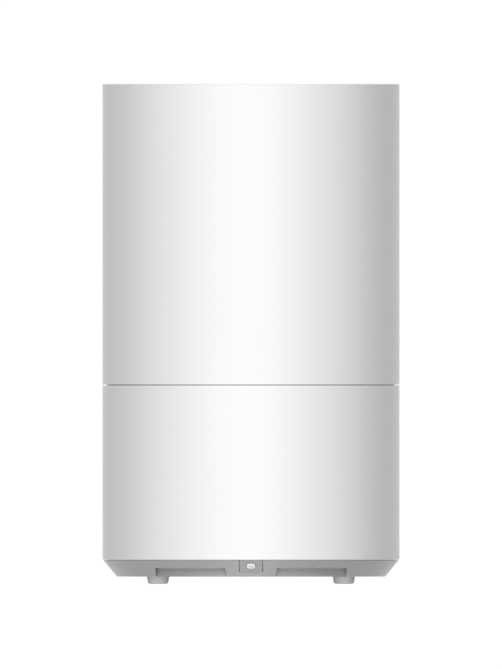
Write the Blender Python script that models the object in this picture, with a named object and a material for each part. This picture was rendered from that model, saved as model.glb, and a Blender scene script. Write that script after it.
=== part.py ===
"""A top-filled cool mist humidifier, standing upright on four feet.

Frame: metres, +Z up. The origin is on the body's axis at the plane that the feet stand on, and the front,
where the button is, faces -Y. Every length below is in millimetres, and solid() turns it into metres.
"""

import math

import bmesh
import bpy
from mathutils import Matrix, Vector

MM = 0.001

# Driving dimensions
BODY_R = 95.0
TOTAL_Z = 320.0
WALL = 2.6
GAP = 0.3
UNDERSIDE_Z = 4.7
UNDERSIDE_R = 85.8
SKIRT_TOP_Z = 15.6
BASE_TOP_Z = 127.0
TANK_FOOT_Z = 127.6

# How finely round shapes are divided
BODY_SIDES = 48
TUBE_SIDES = 28
PIN_SIDES = 12

# Heights and radii that more than one piece uses
BODY_BORE_R = BODY_R - WALL
FLOOR_TOP_Z = UNDERSIDE_Z + 2.5
SKIRT_BORE_R = 81.0
LEDGE_Z = 117.7
POOL_Z = 98.0
POOL_UNDER_Z = 95.6
POOL_R = 62.0
TANK_FLOOR_Z = 136.2
TANK_UNDER_Z = 133.6
DUCT_R = 17.0
DUCT_BORE_R = 15.4
DUCT_TOP_Z = 304.5
LID_LEDGE_Z = 306.0
FAN_Y = 17.0
FAN_Z = 10.0
FAN_TOP_Z = 25.0
FAN_SIDE = 60.0
FAN_HOLE = 25.0
BOARD_Z = 20.3
TERMINAL = (-46.0, -2.0, 31.2)

TRANSDUCER = (0.0, -10.0)
RISER = (0.0, 17.0)
FLOAT = (44.0, -16.0)
VALVE = (-47.0, 0.0)
JACK_Z = 30.0
FEET = {
    "foot_front_left": (-59.4, -44.0),
    "foot_front_right": (59.4, -44.0),
    "foot_rear_left": (-59.4, 44.0),
    "foot_rear_right": (59.4, 44.0),
}
COVER_SCREWS = [(-30.0, -70.0), (30.0, -70.0), (-30.0, 70.0), (30.0, 70.0)]

# The skirt leans in towards its foot. The button sits on that slope and is pressed square to it.
SKIRT_LEAN = math.atan2(BODY_R - 0.5 - UNDERSIDE_R, SKIRT_TOP_Z - GAP - UNDERSIDE_Z)
BUTTON_Z = 11.4
BUTTON_Y = -(UNDERSIDE_R + (BUTTON_Z - UNDERSIDE_Z) * math.tan(SKIRT_LEAN))


def look(name, colour, roughness, metallic=0.0):
    made = bpy.data.materials.new(name)
    made.use_nodes = True
    shader = made.node_tree.nodes["Principled BSDF"]
    shader.inputs["Base Color"].default_value = (*colour, 1.0)
    shader.inputs["Roughness"].default_value = roughness
    shader.inputs["Metallic"].default_value = metallic
    return made


def solid(name, shape, finish=None, at=(0, 0, 0), frame=None):
    """Makes a named object from a mesh in millimetres, with its origin at the point at."""
    bmesh.ops.remove_doubles(shape, verts=shape.verts, dist=1e-4)
    bmesh.ops.recalc_face_normals(shape, faces=shape.faces)
    bmesh.ops.scale(shape, vec=(MM, MM, MM), verts=shape.verts)
    mesh = bpy.data.meshes.new(name)
    shape.to_mesh(mesh)
    shape.free()
    mesh.shade_smooth()
    mesh.set_sharp_from_angle(angle=math.radians(30))
    if finish:
        mesh.materials.append(finish)
    made = bpy.data.objects.new(name, mesh)
    bpy.context.scene.collection.objects.link(made)
    made.parent = frame
    made.location = Vector(at) * MM
    return made


def change(target, operation, *tools):
    for tool in tools:
        tool.hide_render = True
        tool.display_type = "WIRE"
        step = target.modifiers.new(tool.name, "BOOLEAN")
        step.operation = operation
        step.object = tool
    return target


def cut(target, *tools):
    return change(target, "DIFFERENCE", *tools)


def fuse(target, *tools):
    return change(target, "UNION", *tools)


def add_turned(shape, profile, at=(0.0, 0.0), sides=BODY_SIDES):
    """Spins a closed outline of (radius, height) about Z. Flat ends on the axis are filled with one face."""
    off_axis = [point for point in profile if point[0] > 0]
    ring = [shape.verts.new((radius, 0, height)) for radius, height in off_axis]
    pairs = list(zip(ring, ring[1:]))
    closed = len(off_axis) == len(profile)
    if closed:
        pairs.append((ring[-1], ring[0]))
    edges = [shape.edges.new(pair) for pair in pairs]
    spun = set(shape.verts)
    bmesh.ops.spin(
        shape,
        geom=ring + edges,
        axis=(0, 0, 1),
        cent=(0, 0, 0),
        angle=math.tau,
        steps=sides,
        use_merge=True,
    )
    made = ring + [vert for vert in shape.verts if vert not in spun]
    if not closed:
        rims = {edge for vert in made for edge in vert.link_edges if edge.is_boundary}
        bmesh.ops.holes_fill(shape, edges=list(rims), sides=0)
    bmesh.ops.translate(shape, vec=(*at, 0), verts=made)
    return shape


def turned(profile, at=(0.0, 0.0), sides=BODY_SIDES):
    return add_turned(bmesh.new(), profile, at, sides)


def add_rod(shape, radius, low, high, at=(0.0, 0.0), sides=PIN_SIDES):
    place = Matrix.Translation((*at, (low + high) / 2))
    bmesh.ops.create_cone(
        shape,
        cap_ends=True,
        segments=sides,
        radius1=radius,
        radius2=radius,
        depth=high - low,
        matrix=place,
    )
    return shape


def rods(radius, low, high, places, sides=PIN_SIDES):
    shape = bmesh.new()
    for place in places:
        add_rod(shape, radius, low, high, place, sides)
    return shape


def add_block(shape, low, high, turn=0.0):
    """A box between two corners, turned about Z through the origin."""
    low, high = Vector(low), Vector(high)
    place = Matrix.Translation((low + high) / 2) @ Matrix.Diagonal((*(high - low), 1))
    bmesh.ops.create_cube(shape, size=1, matrix=Matrix.Rotation(turn, 4, "Z") @ place)
    return shape


def block(low, high):
    return add_block(bmesh.new(), low, high)


def add_prism(shape, outline, low, high, axis):
    """Extrudes an outline along X or Y. The outline holds the other two coordinates, in X, Y, Z order."""

    def point(first, second, along):
        return (along, first, second) if axis == "X" else (first, along, second)

    ends = [[shape.verts.new(point(*pair, along)) for pair in outline] for along in (low, high)]
    shape.faces.new(ends[0])
    shape.faces.new(ends[1])
    count = len(outline)
    for index in range(count):
        after = (index + 1) % count
        shape.faces.new((ends[0][index], ends[0][after], ends[1][after], ends[1][index]))
    return shape


def prism(outline, low, high, axis="X"):
    return add_prism(bmesh.new(), outline, low, high, axis)


def across_y(radius, low, high, height, name):
    """A rod that lies along Y on the body's centre plane, to cut or to keep."""
    made = solid(name, rods(radius, low, high, [(0, 0)], 24), at=(0, 0, height))
    made.rotation_euler.x = -math.pi / 2
    return made


def on_slope(along, out):
    """The (y, z) of a point that lies along the front slope from the button's centre, and out from it."""
    lean_y, lean_z = -math.sin(SKIRT_LEAN), math.cos(SKIRT_LEAN)
    return (
        BUTTON_Y + along * lean_y - out * lean_z,
        BUTTON_Z + along * lean_z + out * lean_y,
    )


def slope_frame():
    """An empty at the button's centre: local X is across, Y is up the slope and Z is straight out of it."""
    frame = bpy.data.objects.new("button_axis", None)
    bpy.context.scene.collection.objects.link(frame)
    frame.location = Vector((0, BUTTON_Y, BUTTON_Z)) * MM
    frame.rotation_euler.x = math.pi / 2 + SKIRT_LEAN
    return frame


# ---------------------------------------------------------------- base housing


def make_base_shell(white):
    """The white lower wall, with a ledge that carries the basin and four bosses that take the cover's screws."""
    outline = [
        (BODY_R - 0.6, SKIRT_TOP_Z),
        (BODY_R, SKIRT_TOP_Z + 0.6),
        (BODY_R, BASE_TOP_Z - 0.4),
        (BODY_R - 0.4, BASE_TOP_Z),
        (BODY_BORE_R, BASE_TOP_Z),
        (BODY_BORE_R, LEDGE_Z),
        (BODY_BORE_R - 2.6, LEDGE_Z),
        (BODY_BORE_R - 2.6, LEDGE_Z - 2.0),
        (BODY_BORE_R, LEDGE_Z - 4.6),
        (BODY_BORE_R, SKIRT_TOP_Z),
    ]
    shell = solid("base_shell", turned(outline), white)
    boss_foot, boss_top, rib_foot = FLOOR_TOP_Z + GAP, 44.0, 22.0
    posts = solid("boss_posts", rods(4.2, boss_foot, boss_top, COVER_SCREWS))
    ribs = bmesh.new()
    for x, y in COVER_SCREWS:
        out = math.hypot(x, y)
        add_block(ribs, (out, -1.2, rib_foot), (BODY_BORE_R + 0.8, 1.2, boss_top), math.atan2(y, x))
    shelf = block((-8, 77, JACK_Z - 7.6), (8, BODY_BORE_R + 1, JACK_Z - 5.4))
    fuse(shell, posts, solid("boss_ribs", ribs), solid("jack_shelf", shelf))
    pilot_holes = solid("boss_holes", rods(1.8, boss_foot - 1, boss_foot + 12, COVER_SCREWS, 12))
    return cut(shell, pilot_holes, across_y(5.6, 90, 98, JACK_Z, "jack_hole"))


def pocket_tool():
    """The four shallow grips in the skirt, open below: each is closed by a curved wall behind and a flat roof."""
    roof_z, low_z, wall_r = 10.2, 3.0, 83.5
    outer_x, inner_x, inner_foot_x = 60.9, 16.9, 15.0
    near_y, mouth_y, far_y, flare = 40.0, 62.0, 105.0, 0.25
    ring = [(wall_r, low_z), (100.0, low_z), (100.0, roof_z), (wall_r, roof_z)]
    pockets = solid("grip_pockets", turned(ring))
    sides = bmesh.new()
    for hand in (-1, 1):
        for way in (-1, 1):
            outline = [
                (hand * outer_x, low_z - 1),
                (hand * outer_x, roof_z + 1),
                (hand * inner_x, roof_z + 1),
                (hand * inner_foot_x, low_z - 1),
            ]
            add_prism(sides, outline, way * near_y, way * far_y, "Y")
    # The outer end of each grip flares outwards, so it faces partly to the front.
    for vert in sides.verts:
        if abs(vert.co.x) > outer_x - 0.1:
            vert.co.x += math.copysign(flare, vert.co.x) * (abs(vert.co.y) - mouth_y)
    return change(pockets, "INTERSECT", solid("grip_sides", sides))


def make_bottom_cover(grey, slope):
    """The grey skirt and floor in one moulding, with grips, intake slots, foot sockets and standoffs."""
    flange_z, lip_z, lip_r = SKIRT_TOP_Z - GAP, 21.0, BODY_BORE_R - 0.4
    outline = [
        (0, UNDERSIDE_Z),
        (UNDERSIDE_R, UNDERSIDE_Z),
        (BODY_R - 0.5, flange_z),
        (lip_r, flange_z),
        (lip_r, lip_z),
        (lip_r - 1.8, lip_z),
        (lip_r - 1.8, flange_z),
        (SKIRT_BORE_R, flange_z),
        (SKIRT_BORE_R, FLOOR_TOP_Z),
        (0, FLOOR_TOP_Z),
    ]
    cover = solid("bottom_cover", turned(outline), grey)
    board_posts = [(x, y) for x in (-76, -44) for y in (-30, 30)]
    fan_posts = [(x, FAN_Y + y) for x in (-FAN_HOLE, FAN_HOLE) for y in (-FAN_HOLE, FAN_HOLE)]
    standoffs = rods(2.5, UNDERSIDE_Z + 1, BOARD_Z - GAP, board_posts, 12)
    for place in fan_posts:
        add_rod(standoffs, 3.4, UNDERSIDE_Z + 1, FAN_Z - GAP, place, 12)
    fuse(cover, solid("standoffs", standoffs))

    head_r, head_z, shank_r = 3.9, 6.2, 1.9
    hole = [(0, 4), (head_r, 4), (head_r, head_z), (shank_r, head_z), (shank_r, 8), (0, 8)]
    holes = rods(7.6, 4, UNDERSIDE_Z + 1.3, FEET.values(), 24)
    for place in COVER_SCREWS:
        add_turned(holes, hole, place, 12)
    for place in fan_posts:
        add_rod(holes, 2.0, FLOOR_TOP_Z + 0.7, FAN_Z, place, 12)

    slots, slot_pitch, slot_w, grille_r = bmesh.new(), 6.0, 3.0, 26.0
    for step in range(-4, 5):
        reach = math.sqrt(grille_r**2 - (step * slot_pitch) ** 2)
        y = FAN_Y + step * slot_pitch
        add_block(slots, (-reach, y - slot_w / 2, 4), (reach, y + slot_w / 2, 8))

    panel_slot = solid("panel_slot", block((-7.6, -5.2, -2.3), (7.6, 9, 3)), frame=slope)
    stem_hole = solid("stem_hole", rods(2.6, -9, -1.5, [(0, 0)]), frame=slope)
    recess = solid("switch_recess", block((-3.6, -3.6, -16), (3.6, 3.6, -8.2)), frame=slope)
    floor_holes = solid("floor_holes", holes)
    cut(cover, pocket_tool(), floor_holes, solid("intake_slots", slots))
    return cut(cover, panel_slot, stem_hole, recess)


def make_feet(rubber):
    """Four soft feet, each pressed into a socket of the cover."""
    outline = [(0, 0), (5.8, 0), (6.6, 0.35), (6.9, 1.2), (7.2, 5.7), (0, 5.7)]
    for name, place in FEET.items():
        solid(name, turned(outline, sides=24), rubber, at=(*place, 0))


def screw_shape(head_r, head_z, head_top_z, shank_r, tip_z):
    """A pan-head screw that points up, with a dimple for its drive in the head."""
    outline = [
        (0, head_z + 0.5),
        (head_r * 0.3, head_z + 0.5),
        (head_r * 0.42, head_z),
        (head_r * 0.85, head_z),
        (head_r, head_z + 0.4),
        (head_r, head_top_z),
        (shank_r, head_top_z),
        (shank_r, tip_z),
        (0, tip_z),
    ]
    return turned(outline, sides=12)


def make_cover_screws(steel):
    for index, place in enumerate(COVER_SCREWS, 1):
        shape = screw_shape(3.4, UNDERSIDE_Z + 0.1, 5.9, 1.5, 18.0)
        solid(f"cover_screw_{index}", shape, steel, at=(*place, 0))


# ------------------------------------------------------- button and its switch


def make_button(white, grey, dark, green, slope):
    """The oval button in its flush panel, and the switch behind it on a wedge-shaped carrier."""
    panel_top_z = SKIRT_TOP_Z - GAP
    corners = [(-4.9, -0.4), (-4.9, -2.0)]
    for out in (-2.0, -0.4):
        up = (panel_top_z - BUTTON_Z + out * math.sin(SKIRT_LEAN)) / math.cos(SKIRT_LEAN)
        corners.append((up, out))
    panel = solid("button_panel", prism(corners, -7.3, 7.3), grey, frame=slope)
    window = solid("button_window", rods(3.3, -5, 5, [(0, 0)], 24), frame=slope)
    window.scale = (1.0, 0.9, 1.0)
    cut(panel, window)

    cap = rods(1.0, -1.4, 0.4, [(0, 0)], 24)
    bmesh.ops.scale(cap, vec=(2.7, 2.35, 1), verts=cap.verts)
    button = solid("power_button", cap, white, frame=slope)
    fuse(button, solid("button_stem", rods(2.0, -7.5, -1.0, [(0, 0)], 12), frame=slope))

    board_out, inner_y, outer_y = -13.0, -80.7, -89.0
    wedge = [(inner_y, SKIRT_TOP_Z), (outer_y, SKIRT_TOP_Z)]
    for y in (outer_y, inner_y):
        plane_y, plane_z = on_slope(0, board_out)
        wedge.append((y, plane_z + (plane_y - y) / math.tan(SKIRT_LEAN)))
    carrier = solid("switch_carrier", prism(wedge, -9, 9), grey)
    bore = solid("carrier_bore", rods(2.6, -15, -3, [(0, 0)]), frame=slope)
    seat = solid("carrier_seat", block((-3.6, -3.6, -14), (3.6, 3.6, -8.2)), frame=slope)
    cut(carrier, bore, seat)

    switch = solid("tact_switch", block((-3.1, -3.1, -12.7), (3.1, 3.1, -9.3)), dark, frame=slope)
    fuse(switch, solid("switch_nub", rods(1.6, -10, -8.4, [(0, 0)], 12), frame=slope))
    board = block((-9.5, -3.6, board_out - 1.5), (9.5, 11.5, board_out - GAP))
    solid("switch_board", board, green, frame=slope)


# ------------------------------------------------------ power, board and leads


def make_power(dark, brass, green, aluminium):
    """The low-voltage inlet at the back, and the board that drives the mist maker."""
    jack = solid("dc_jack", block((-5.5, 78, JACK_Z - 5.1), (5.5, 90, JACK_Z + 5.1)), dark)
    fuse(jack, across_y(5.2, 89, 93.6, JACK_Z, "jack_snout"))
    cut(jack, across_y(3.2, 82, 95, JACK_Z, "jack_bore"))
    pin = across_y(1.0, 82.3, 92.0, JACK_Z, "dc_jack_pin")
    pin.data.materials.append(brass)

    board_top = BOARD_Z + 1.6
    seat_z = board_top + GAP
    solid("driver_board", block((-80, -34, BOARD_Z), (-40, 34, board_top)), green)
    fins, fin_w, fin_pitch, low_y, root_z, tip_z = 5, 2.0, 5.5, -27.0, seat_z + 3, 44.0
    comb = [(low_y, seat_z), (low_y + (fins - 1) * fin_pitch + fin_w, seat_z)]
    for fin in reversed(range(fins)):
        near, far = low_y + fin * fin_pitch + fin_w, low_y + fin * fin_pitch
        comb += [(near, root_z), (near, tip_z), (far, tip_z), (far, root_z)]
    comb = [point for index, point in enumerate(comb) if index not in (2, len(comb) - 1)]
    solid("heat_sink", prism(comb, -74, -54), aluminium)
    solid("capacitor", rods(6.5, seat_z, 42, [(-62, 20)], 24), dark)
    x, y, top = TERMINAL
    solid("terminal_block", block((x - 4, y - 15, seat_z), (x + 4, y + 15, top)), dark)


def lead(name, route, finish, radius=1.1, steps=4):
    """A pair of wires in one sleeve, along a smooth curve through the points of its route."""
    points = [Vector(point) for point in route]
    ends = [2 * points[0] - points[1], *points, 2 * points[-1] - points[-2]]
    line = []
    for a, b, c, d in zip(ends, ends[1:], ends[2:], ends[3:]):
        for step in range(steps):
            t = step / steps
            line.append(
                0.5 * (2 * b + (c - a) * t + (2 * a - 5 * b + 4 * c - d) * t**2 + (3 * b - a - 3 * c + d) * t**3)
            )
    line.append(points[-1])
    curve = bpy.data.curves.new(name, "CURVE")
    curve.dimensions = "3D"
    curve.bevel_depth = radius * MM
    curve.bevel_resolution = 1
    curve.use_fill_caps = True
    spline = curve.splines.new("POLY")
    spline.points.add(len(line) - 1)
    for point, place in zip(spline.points, line):
        point.co = (*(place * MM), 1)
    curve.materials.append(finish)
    made = bpy.data.objects.new(name, curve)
    bpy.context.scene.collection.objects.link(made)
    return made


def make_leads(red, white, black):
    x, y, top = TERMINAL
    end_z = top + 2 * GAP
    back_y, back_z = on_slope(5, -15.6)
    landing = {
        "jack_lead": (10, black, [(0, 77.2, 30), (-1, 71, 32), (-14, 62, 42), (-32, 48, 45), (-45, 26, 42)]),
        "fan_lead": (4, black, [(-31.4, 17, 17), (-34, 15, 22), (-40, 8, 34)]),
        "transducer_lead": (
            -2,
            red,
            [(0, -10, 93.2), (0, -10, 84), (-5, -12, 72), (-22, -12, 56), (-38, -8, 44)],
        ),
        "sensor_lead": (
            -8,
            white,
            [(44, -16, 93), (44, -17, 84), (36, -24, 68), (12, -32, 54), (-20, -26, 46), (-40, -16, 41)],
        ),
        "switch_lead": (
            -14,
            white,
            [(0, back_y, back_z), (-3, back_y + 5, back_z + 4), (-14, -66, 36), (-32, -44, 42), (-44, -22, 39)],
        ),
    }
    for name, (across, finish, route) in landing.items():
        last = (x, y + across, end_z)
        lead(name, [*route, (x, y + across, end_z + 4), last], finish)


# -------------------------------------------------------------- fan and ducting


def make_fan(dark, foam, steel):
    """A flat axial fan that draws through the slots and the filter below it and blows up the duct."""
    solid("intake_filter", rods(28, FLOOR_TOP_Z + GAP, FAN_Z - 0.5, [(0, FAN_Y)], 32), foam)
    half, bore_r, hub_r, plate_z = FAN_SIDE / 2, 28.0, 12.0, FAN_Z + 1.6
    body = block((-half, FAN_Y - half, FAN_Z), (half, FAN_Y + half, FAN_TOP_Z))
    frame = solid("fan_frame", body, dark)
    corners = [(x, FAN_Y + y) for x in (-FAN_HOLE, FAN_HOLE) for y in (-FAN_HOLE, FAN_HOLE)]
    bore = rods(bore_r, FAN_Z - 1, FAN_TOP_Z + 1, [(0, FAN_Y)], TUBE_SIDES)
    cut(frame, solid("fan_bore", bore))
    struts = bmesh.new()
    for turn in (30, 150, 270):
        add_block(struts, (hub_r - 2, -1.5, FAN_Z), (bore_r + 1, 1.5, plate_z), math.radians(turn))
    hub = solid("fan_motor_plate", rods(hub_r, FAN_Z, plate_z, [(0, 0)], 24), at=(0, FAN_Y, 0))
    fuse(frame, hub, solid("fan_struts", struts, at=(0, FAN_Y, 0)))
    cut(frame, solid("fan_holes", rods(2.2, FAN_Z - 1, FAN_TOP_Z + 1, corners, 12)))

    axis = (0, FAN_Y, 0)
    rotor = solid("fan_rotor", rods(13.0, FAN_Z + 2.2, FAN_TOP_Z - 2, [(0, 0)], 28), dark, at=axis)
    blades, blade_count, pitch = bmesh.new(), 7, math.radians(35)
    middle_z = (FAN_Z + FAN_TOP_Z) / 2 + 0.6
    for index in range(blade_count):
        made = bmesh.ops.create_cube(blades, size=1)["verts"]
        size = Matrix.Diagonal((15.0, 11.0, 1.4, 1))
        lean = Matrix.Translation((19.0, 0, middle_z)) @ Matrix.Rotation(pitch, 4, "X")
        around = Matrix.Rotation(math.tau * index / blade_count, 4, "Z")
        bmesh.ops.transform(blades, matrix=around @ lean @ size, verts=made)
    fuse(rotor, solid("fan_blades", blades, at=axis))

    for index, place in enumerate((corners[0], corners[3]), 1):
        head_z = FAN_TOP_Z + GAP
        outline = [(0, 9), (1.7, 9), (1.7, head_z), (3.2, head_z), (3.2, head_z + 1.4), (0, head_z + 1.4)]
        solid(f"fan_screw_{index}", turned(outline, sides=12), steel, at=(*place, 0))


def duct_ring(shape, radius, half_x, half_y, roundness, height, wall):
    """One loop of the air duct: a circle where roundness is 1, and a rectangle where it is 0."""
    loop = []
    for index in range(24):
        angle = math.tau * (index + 0.5) / 24
        across, along = math.cos(angle), math.sin(angle)
        to_edge = 1 / max(abs(across) / (half_x - wall), abs(along) / (half_y - wall))
        reach = roundness * (radius - wall) + (1 - roundness) * to_edge
        loop.append(shape.verts.new((reach * across, FAN_Y + reach * along, height)))
    return loop


def make_air_duct(white):
    """A thin hopper from the fan's round mouth up to the narrow riser in the basin."""
    shape = bmesh.new()
    levels = [(1, FAN_TOP_Z + GAP), (1, 34.0), (0, 78.0), (0, POOL_UNDER_Z - GAP)]
    outside = [duct_ring(shape, 28.8, 12.7, 6.7, roundness, z, 0) for roundness, z in levels]
    inside = [duct_ring(shape, 28.8, 12.7, 6.7, roundness, z, 1.6) for roundness, z in levels]
    around = outside + inside[::-1]
    for lower, upper in zip(around, around[1:] + around[:1]):
        for index in range(24):
            after = (index + 1) % 24
            shape.faces.new((lower[index], lower[after], upper[after], upper[index]))
    solid("air_duct", shape, white)


# ------------------------------------------------------- basin and mist maker


def make_basin(white):
    """The wet deck: an outer rim on the shell's ledge, a lip behind the seam, a collar and a sunken pool."""
    rim_r, collar_r, deck_r = 91.9, 86.4, 84.0
    rim_z, lip_z, collar_z, deck_z = 126.4, 128.6, 133.0, 119.5
    outline = [
        (0, POOL_UNDER_Z),
        (POOL_R + 2.4, POOL_UNDER_Z),
        (POOL_R + 2.4, deck_z - 3.9),
        (collar_r, deck_z - 2.4),
        (collar_r, rim_z - 2.4),
        (rim_r - 2.0, rim_z - 2.4),
        (rim_r - 2.0, LEDGE_Z + GAP),
        (rim_r, LEDGE_Z + GAP),
        (rim_r, lip_z),
        (rim_r - 1.5, lip_z),
        (rim_r - 1.5, rim_z),
        (collar_r, rim_z),
        (collar_r, collar_z),
        (deck_r + 0.4, collar_z),
        (deck_r, collar_z - 0.4),
        (deck_r, deck_z),
        (POOL_R, deck_z - 1.5),
        (POOL_R, POOL_Z),
        (0, POOL_Z),
    ]
    basin = solid("basin", turned(outline), white)
    under = POOL_Z - 1.2
    x, y = RISER
    riser = solid("riser", block((x - 13, y - 7, under), (x + 13, y + 7, 122)))
    posts = rods(2.5, under, 121, [FLOAT])
    add_rod(posts, 3.2, under, 116.5, VALVE)
    bosses = rods(3.2, 92.7, POOL_Z - 1.2, transducer_screw_places(), 12)
    fuse(basin, riser, solid("basin_posts", posts), solid("transducer_bosses", bosses))
    passage = solid("riser_passage", block((x - 11, y - 5, 90), (x + 11, y + 5, 125)))
    mist_hole = solid("mist_hole", rods(9.0, 90, 100, [TRANSDUCER], 32))
    pilot = solid("transducer_pilots", rods(1.5, 90, POOL_Z - 1.6, transducer_screw_places(), 12))
    return cut(basin, passage, mist_hole, pilot)


def transducer_screw_places():
    x, y = TRANSDUCER
    turns = (math.radians(turn) for turn in (30, 150, 270))
    return [(x + 17 * math.cos(turn), y + 17 * math.sin(turn)) for turn in turns]


def make_mist_maker(ceramic, silicone, steel):
    """The ultrasonic disc in its sealing ring, clamped up against the pool's floor by a plate and three screws."""
    x, y = TRANSDUCER
    solid("transducer_disc", turned([(0, 93.6), (10, 93.6), (10, 94.8), (0, 94.8)], sides=32), ceramic, (x, y, 0))
    ring = [(10.3, 92.7), (13.2, 92.7), (13.2, 95.3), (10.3, 95.3)]
    solid("transducer_gasket", turned(ring, sides=32), silicone, (x, y, 0))
    plate = [(8.0, 90.6), (20.0, 90.6), (20.0, 92.4), (8.0, 92.4)]
    clamp = solid("transducer_plate", turned(plate, sides=32), steel, (x, y, 0))
    cut(clamp, solid("plate_holes", rods(1.5, 88, 95, transducer_screw_places(), 12)))
    for index, place in enumerate(transducer_screw_places(), 1):
        shape = screw_shape(2.8, 88.8, 90.3, 1.2, 95.8)
        solid(f"transducer_screw_{index}", shape, steel, at=(*place, 0))


def make_air_hood(white):
    """A cap over the riser, with its window towards the mist maker, so that splashes stay out of the duct."""
    x, y = RISER
    hood = solid("air_hood", block((x - 14.9, y - 8.9, 112), (x + 14.9, y + 8.9, 129.5)), white)
    inside = solid("hood_inside", block((x - 13.3, y - 7.3, 110), (x + 13.3, y + 7.3, 128)))
    window = solid("hood_window", block((x - 11, y - 12, 122.6), (x + 11, y - 5, 127.2)))
    cut(hood, inside, window)


def make_float(foam, white, green):
    """The level float, free to rise on its post up to a cap, with a magnetic sensor under the pool's floor."""
    x, y = FLOAT
    low, high = POOL_Z + GAP, POOL_Z + GAP + 10
    ring = [(2.9, low), (9.9, low), (10.5, low + 0.6), (10.5, high - 0.6), (9.9, high), (2.9, high)]
    solid("float_ring", turned(ring, sides=32), foam, (x, y, 0))
    cap = [(2.8, 118.6), (4.8, 118.6), (4.8, 119.6), (4.2, 120.4), (2.8, 120.4)]
    solid("float_cap", turned(cap, sides=24), white, (x, y, 0))
    solid("float_sensor", block((x - 8, y - 5, 93.4), (x + 8, y + 5, POOL_UNDER_Z - GAP)), green)


# ------------------------------------------------------------ tank and its valve


def make_tank(white):
    """The white tank: a turned wall with a ledge for the lid, and a floor welded up against a rib of the wall."""
    rib_z, rib_r = TANK_FLOOR_Z + GAP, BODY_BORE_R - 1.8
    wall = [
        (BODY_R - 0.4, TANK_FOOT_Z),
        (BODY_R, TANK_FOOT_Z + 0.4),
        (BODY_R, TOTAL_Z - 0.9),
        (BODY_R - 0.9, TOTAL_Z),
        (BODY_BORE_R + 0.6, TOTAL_Z),
        (BODY_BORE_R, TOTAL_Z - 0.6),
        (BODY_BORE_R, LID_LEDGE_Z),
        (BODY_BORE_R - 2.5, LID_LEDGE_Z),
        (BODY_BORE_R - 2.5, LID_LEDGE_Z - 1.4),
        (BODY_BORE_R, LID_LEDGE_Z - 4.4),
        (BODY_BORE_R, rib_z + 3.6),
        (rib_r, rib_z + 1.8),
        (rib_r, rib_z),
        (BODY_BORE_R, rib_z),
        (BODY_BORE_R, TANK_FOOT_Z),
    ]
    solid("tank_shell", turned(wall), white)
    socket_r, socket_top, floor_r = DUCT_R + 0.4, TANK_FLOOR_Z + 11.8, BODY_BORE_R - GAP
    outline = [
        (floor_r, TANK_UNDER_Z),
        (floor_r, TANK_FLOOR_Z),
        (socket_r + 2.1, TANK_FLOOR_Z),
        (socket_r + 2.1, socket_top),
        (socket_r, socket_top),
        (socket_r, TANK_FLOOR_Z),
        (DUCT_BORE_R, TANK_FLOOR_Z),
        (DUCT_BORE_R, TANK_UNDER_Z),
    ]
    tank_floor = solid("tank_floor", turned(outline), white)
    return cut(tank_floor, solid("valve_hole", rods(9.3, 130, 140, [VALVE], 32)))


def make_mist_path(white, silicone):
    """The upright duct, its sealing ring, and the chamber under the tank that keeps the mist over the disc."""
    foot_z = TANK_FLOOR_Z + GAP
    tube = [(DUCT_BORE_R, foot_z), (DUCT_R, foot_z), (DUCT_R, DUCT_TOP_Z), (DUCT_BORE_R, DUCT_TOP_Z)]
    solid("mist_duct", turned(tube, sides=TUBE_SIDES), white)
    seal = [(17.3, 148.3), (19.5, 148.3), (19.5, 149.9), (18.9, 150.5), (17.3, 150.5)]
    solid("duct_seal", turned(seal, sides=TUBE_SIDES), silicone)
    top_z, foot_z = TANK_UNDER_Z - GAP, 107.0
    wall = [(31, foot_z), (33, foot_z), (33, top_z - 2), (34, top_z - 2), (34, top_z), (31, top_z)]
    chamber = solid("mist_chamber", turned(wall, sides=TUBE_SIDES), white)
    notches = bmesh.new()
    for turn in (45, 135, 225, 315):
        add_block(notches, (28, -5, foot_z - 2), (36, 5, foot_z + 5), math.radians(turn))
    cut(chamber, solid("chamber_notches", notches))


def spring_line(coil_r, low, high, turns):
    steps = round(turns * 8)
    for step in range(steps + 1):
        angle = math.tau * turns * step / steps
        height = low + (high - low) * step / steps
        yield (VALVE[0] + coil_r * math.cos(angle), VALVE[1] + coil_r * math.sin(angle), height)


def make_valve(white, silicone, steel):
    """The spring-loaded outlet in the tank's floor, held open at rest by the post in the basin."""
    at = (*VALVE, 0)
    seat_z, foot_z = TANK_FLOOR_Z + GAP, 118.0
    body = [
        (2.3, foot_z),
        (9, foot_z),
        (9, seat_z),
        (12, seat_z),
        (12, seat_z + 2),
        (5, seat_z + 2),
        (5, seat_z),
        (7.2, seat_z),
        (7.2, foot_z + 2),
        (2.3, foot_z + 2),
    ]
    cage = solid("valve_body", turned(body, sides=24), white, at)
    across = solid("valve_windows_x", block((-12, -2.5, 121), (12, 2.5, 127)), at=at)
    along = solid("valve_windows_y", block((-2.5, -12, 121), (2.5, 12, 127)), at=at)
    cut(cage, across, along)

    nut = solid("valve_nut", rods(12.5, 129.6, TANK_UNDER_Z - GAP, [(0, 0)], 6), white, at)
    cut(nut, solid("nut_bore", rods(9.3, 128, 136, [(0, 0)], 24), at=at))

    stem = [(0, 116.8), (1.2, 116.8), (1.8, 117.4), (1.8, 145.7), (7, 145.7), (7, 147.2), (0, 147.2)]
    plunger = solid("valve_plunger", turned(stem, sides=PIN_SIDES), white, at)
    fuse(plunger, solid("plunger_plate", rods(6.7, 127.0, 128.2, [(0, 0)], 4), at=at))
    seal = [(2.1, 143.8), (7.4, 143.8), (7.4, 145.4), (2.1, 145.4)]
    solid("valve_seal", turned(seal, sides=24), silicone, at)
    coil = list(spring_line(6.1, 129.0, 135.7, 4.5))
    lead("valve_spring", coil, steel, radius=0.4, steps=1)


# ---------------------------------------------------------------- lid and nozzle


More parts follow.
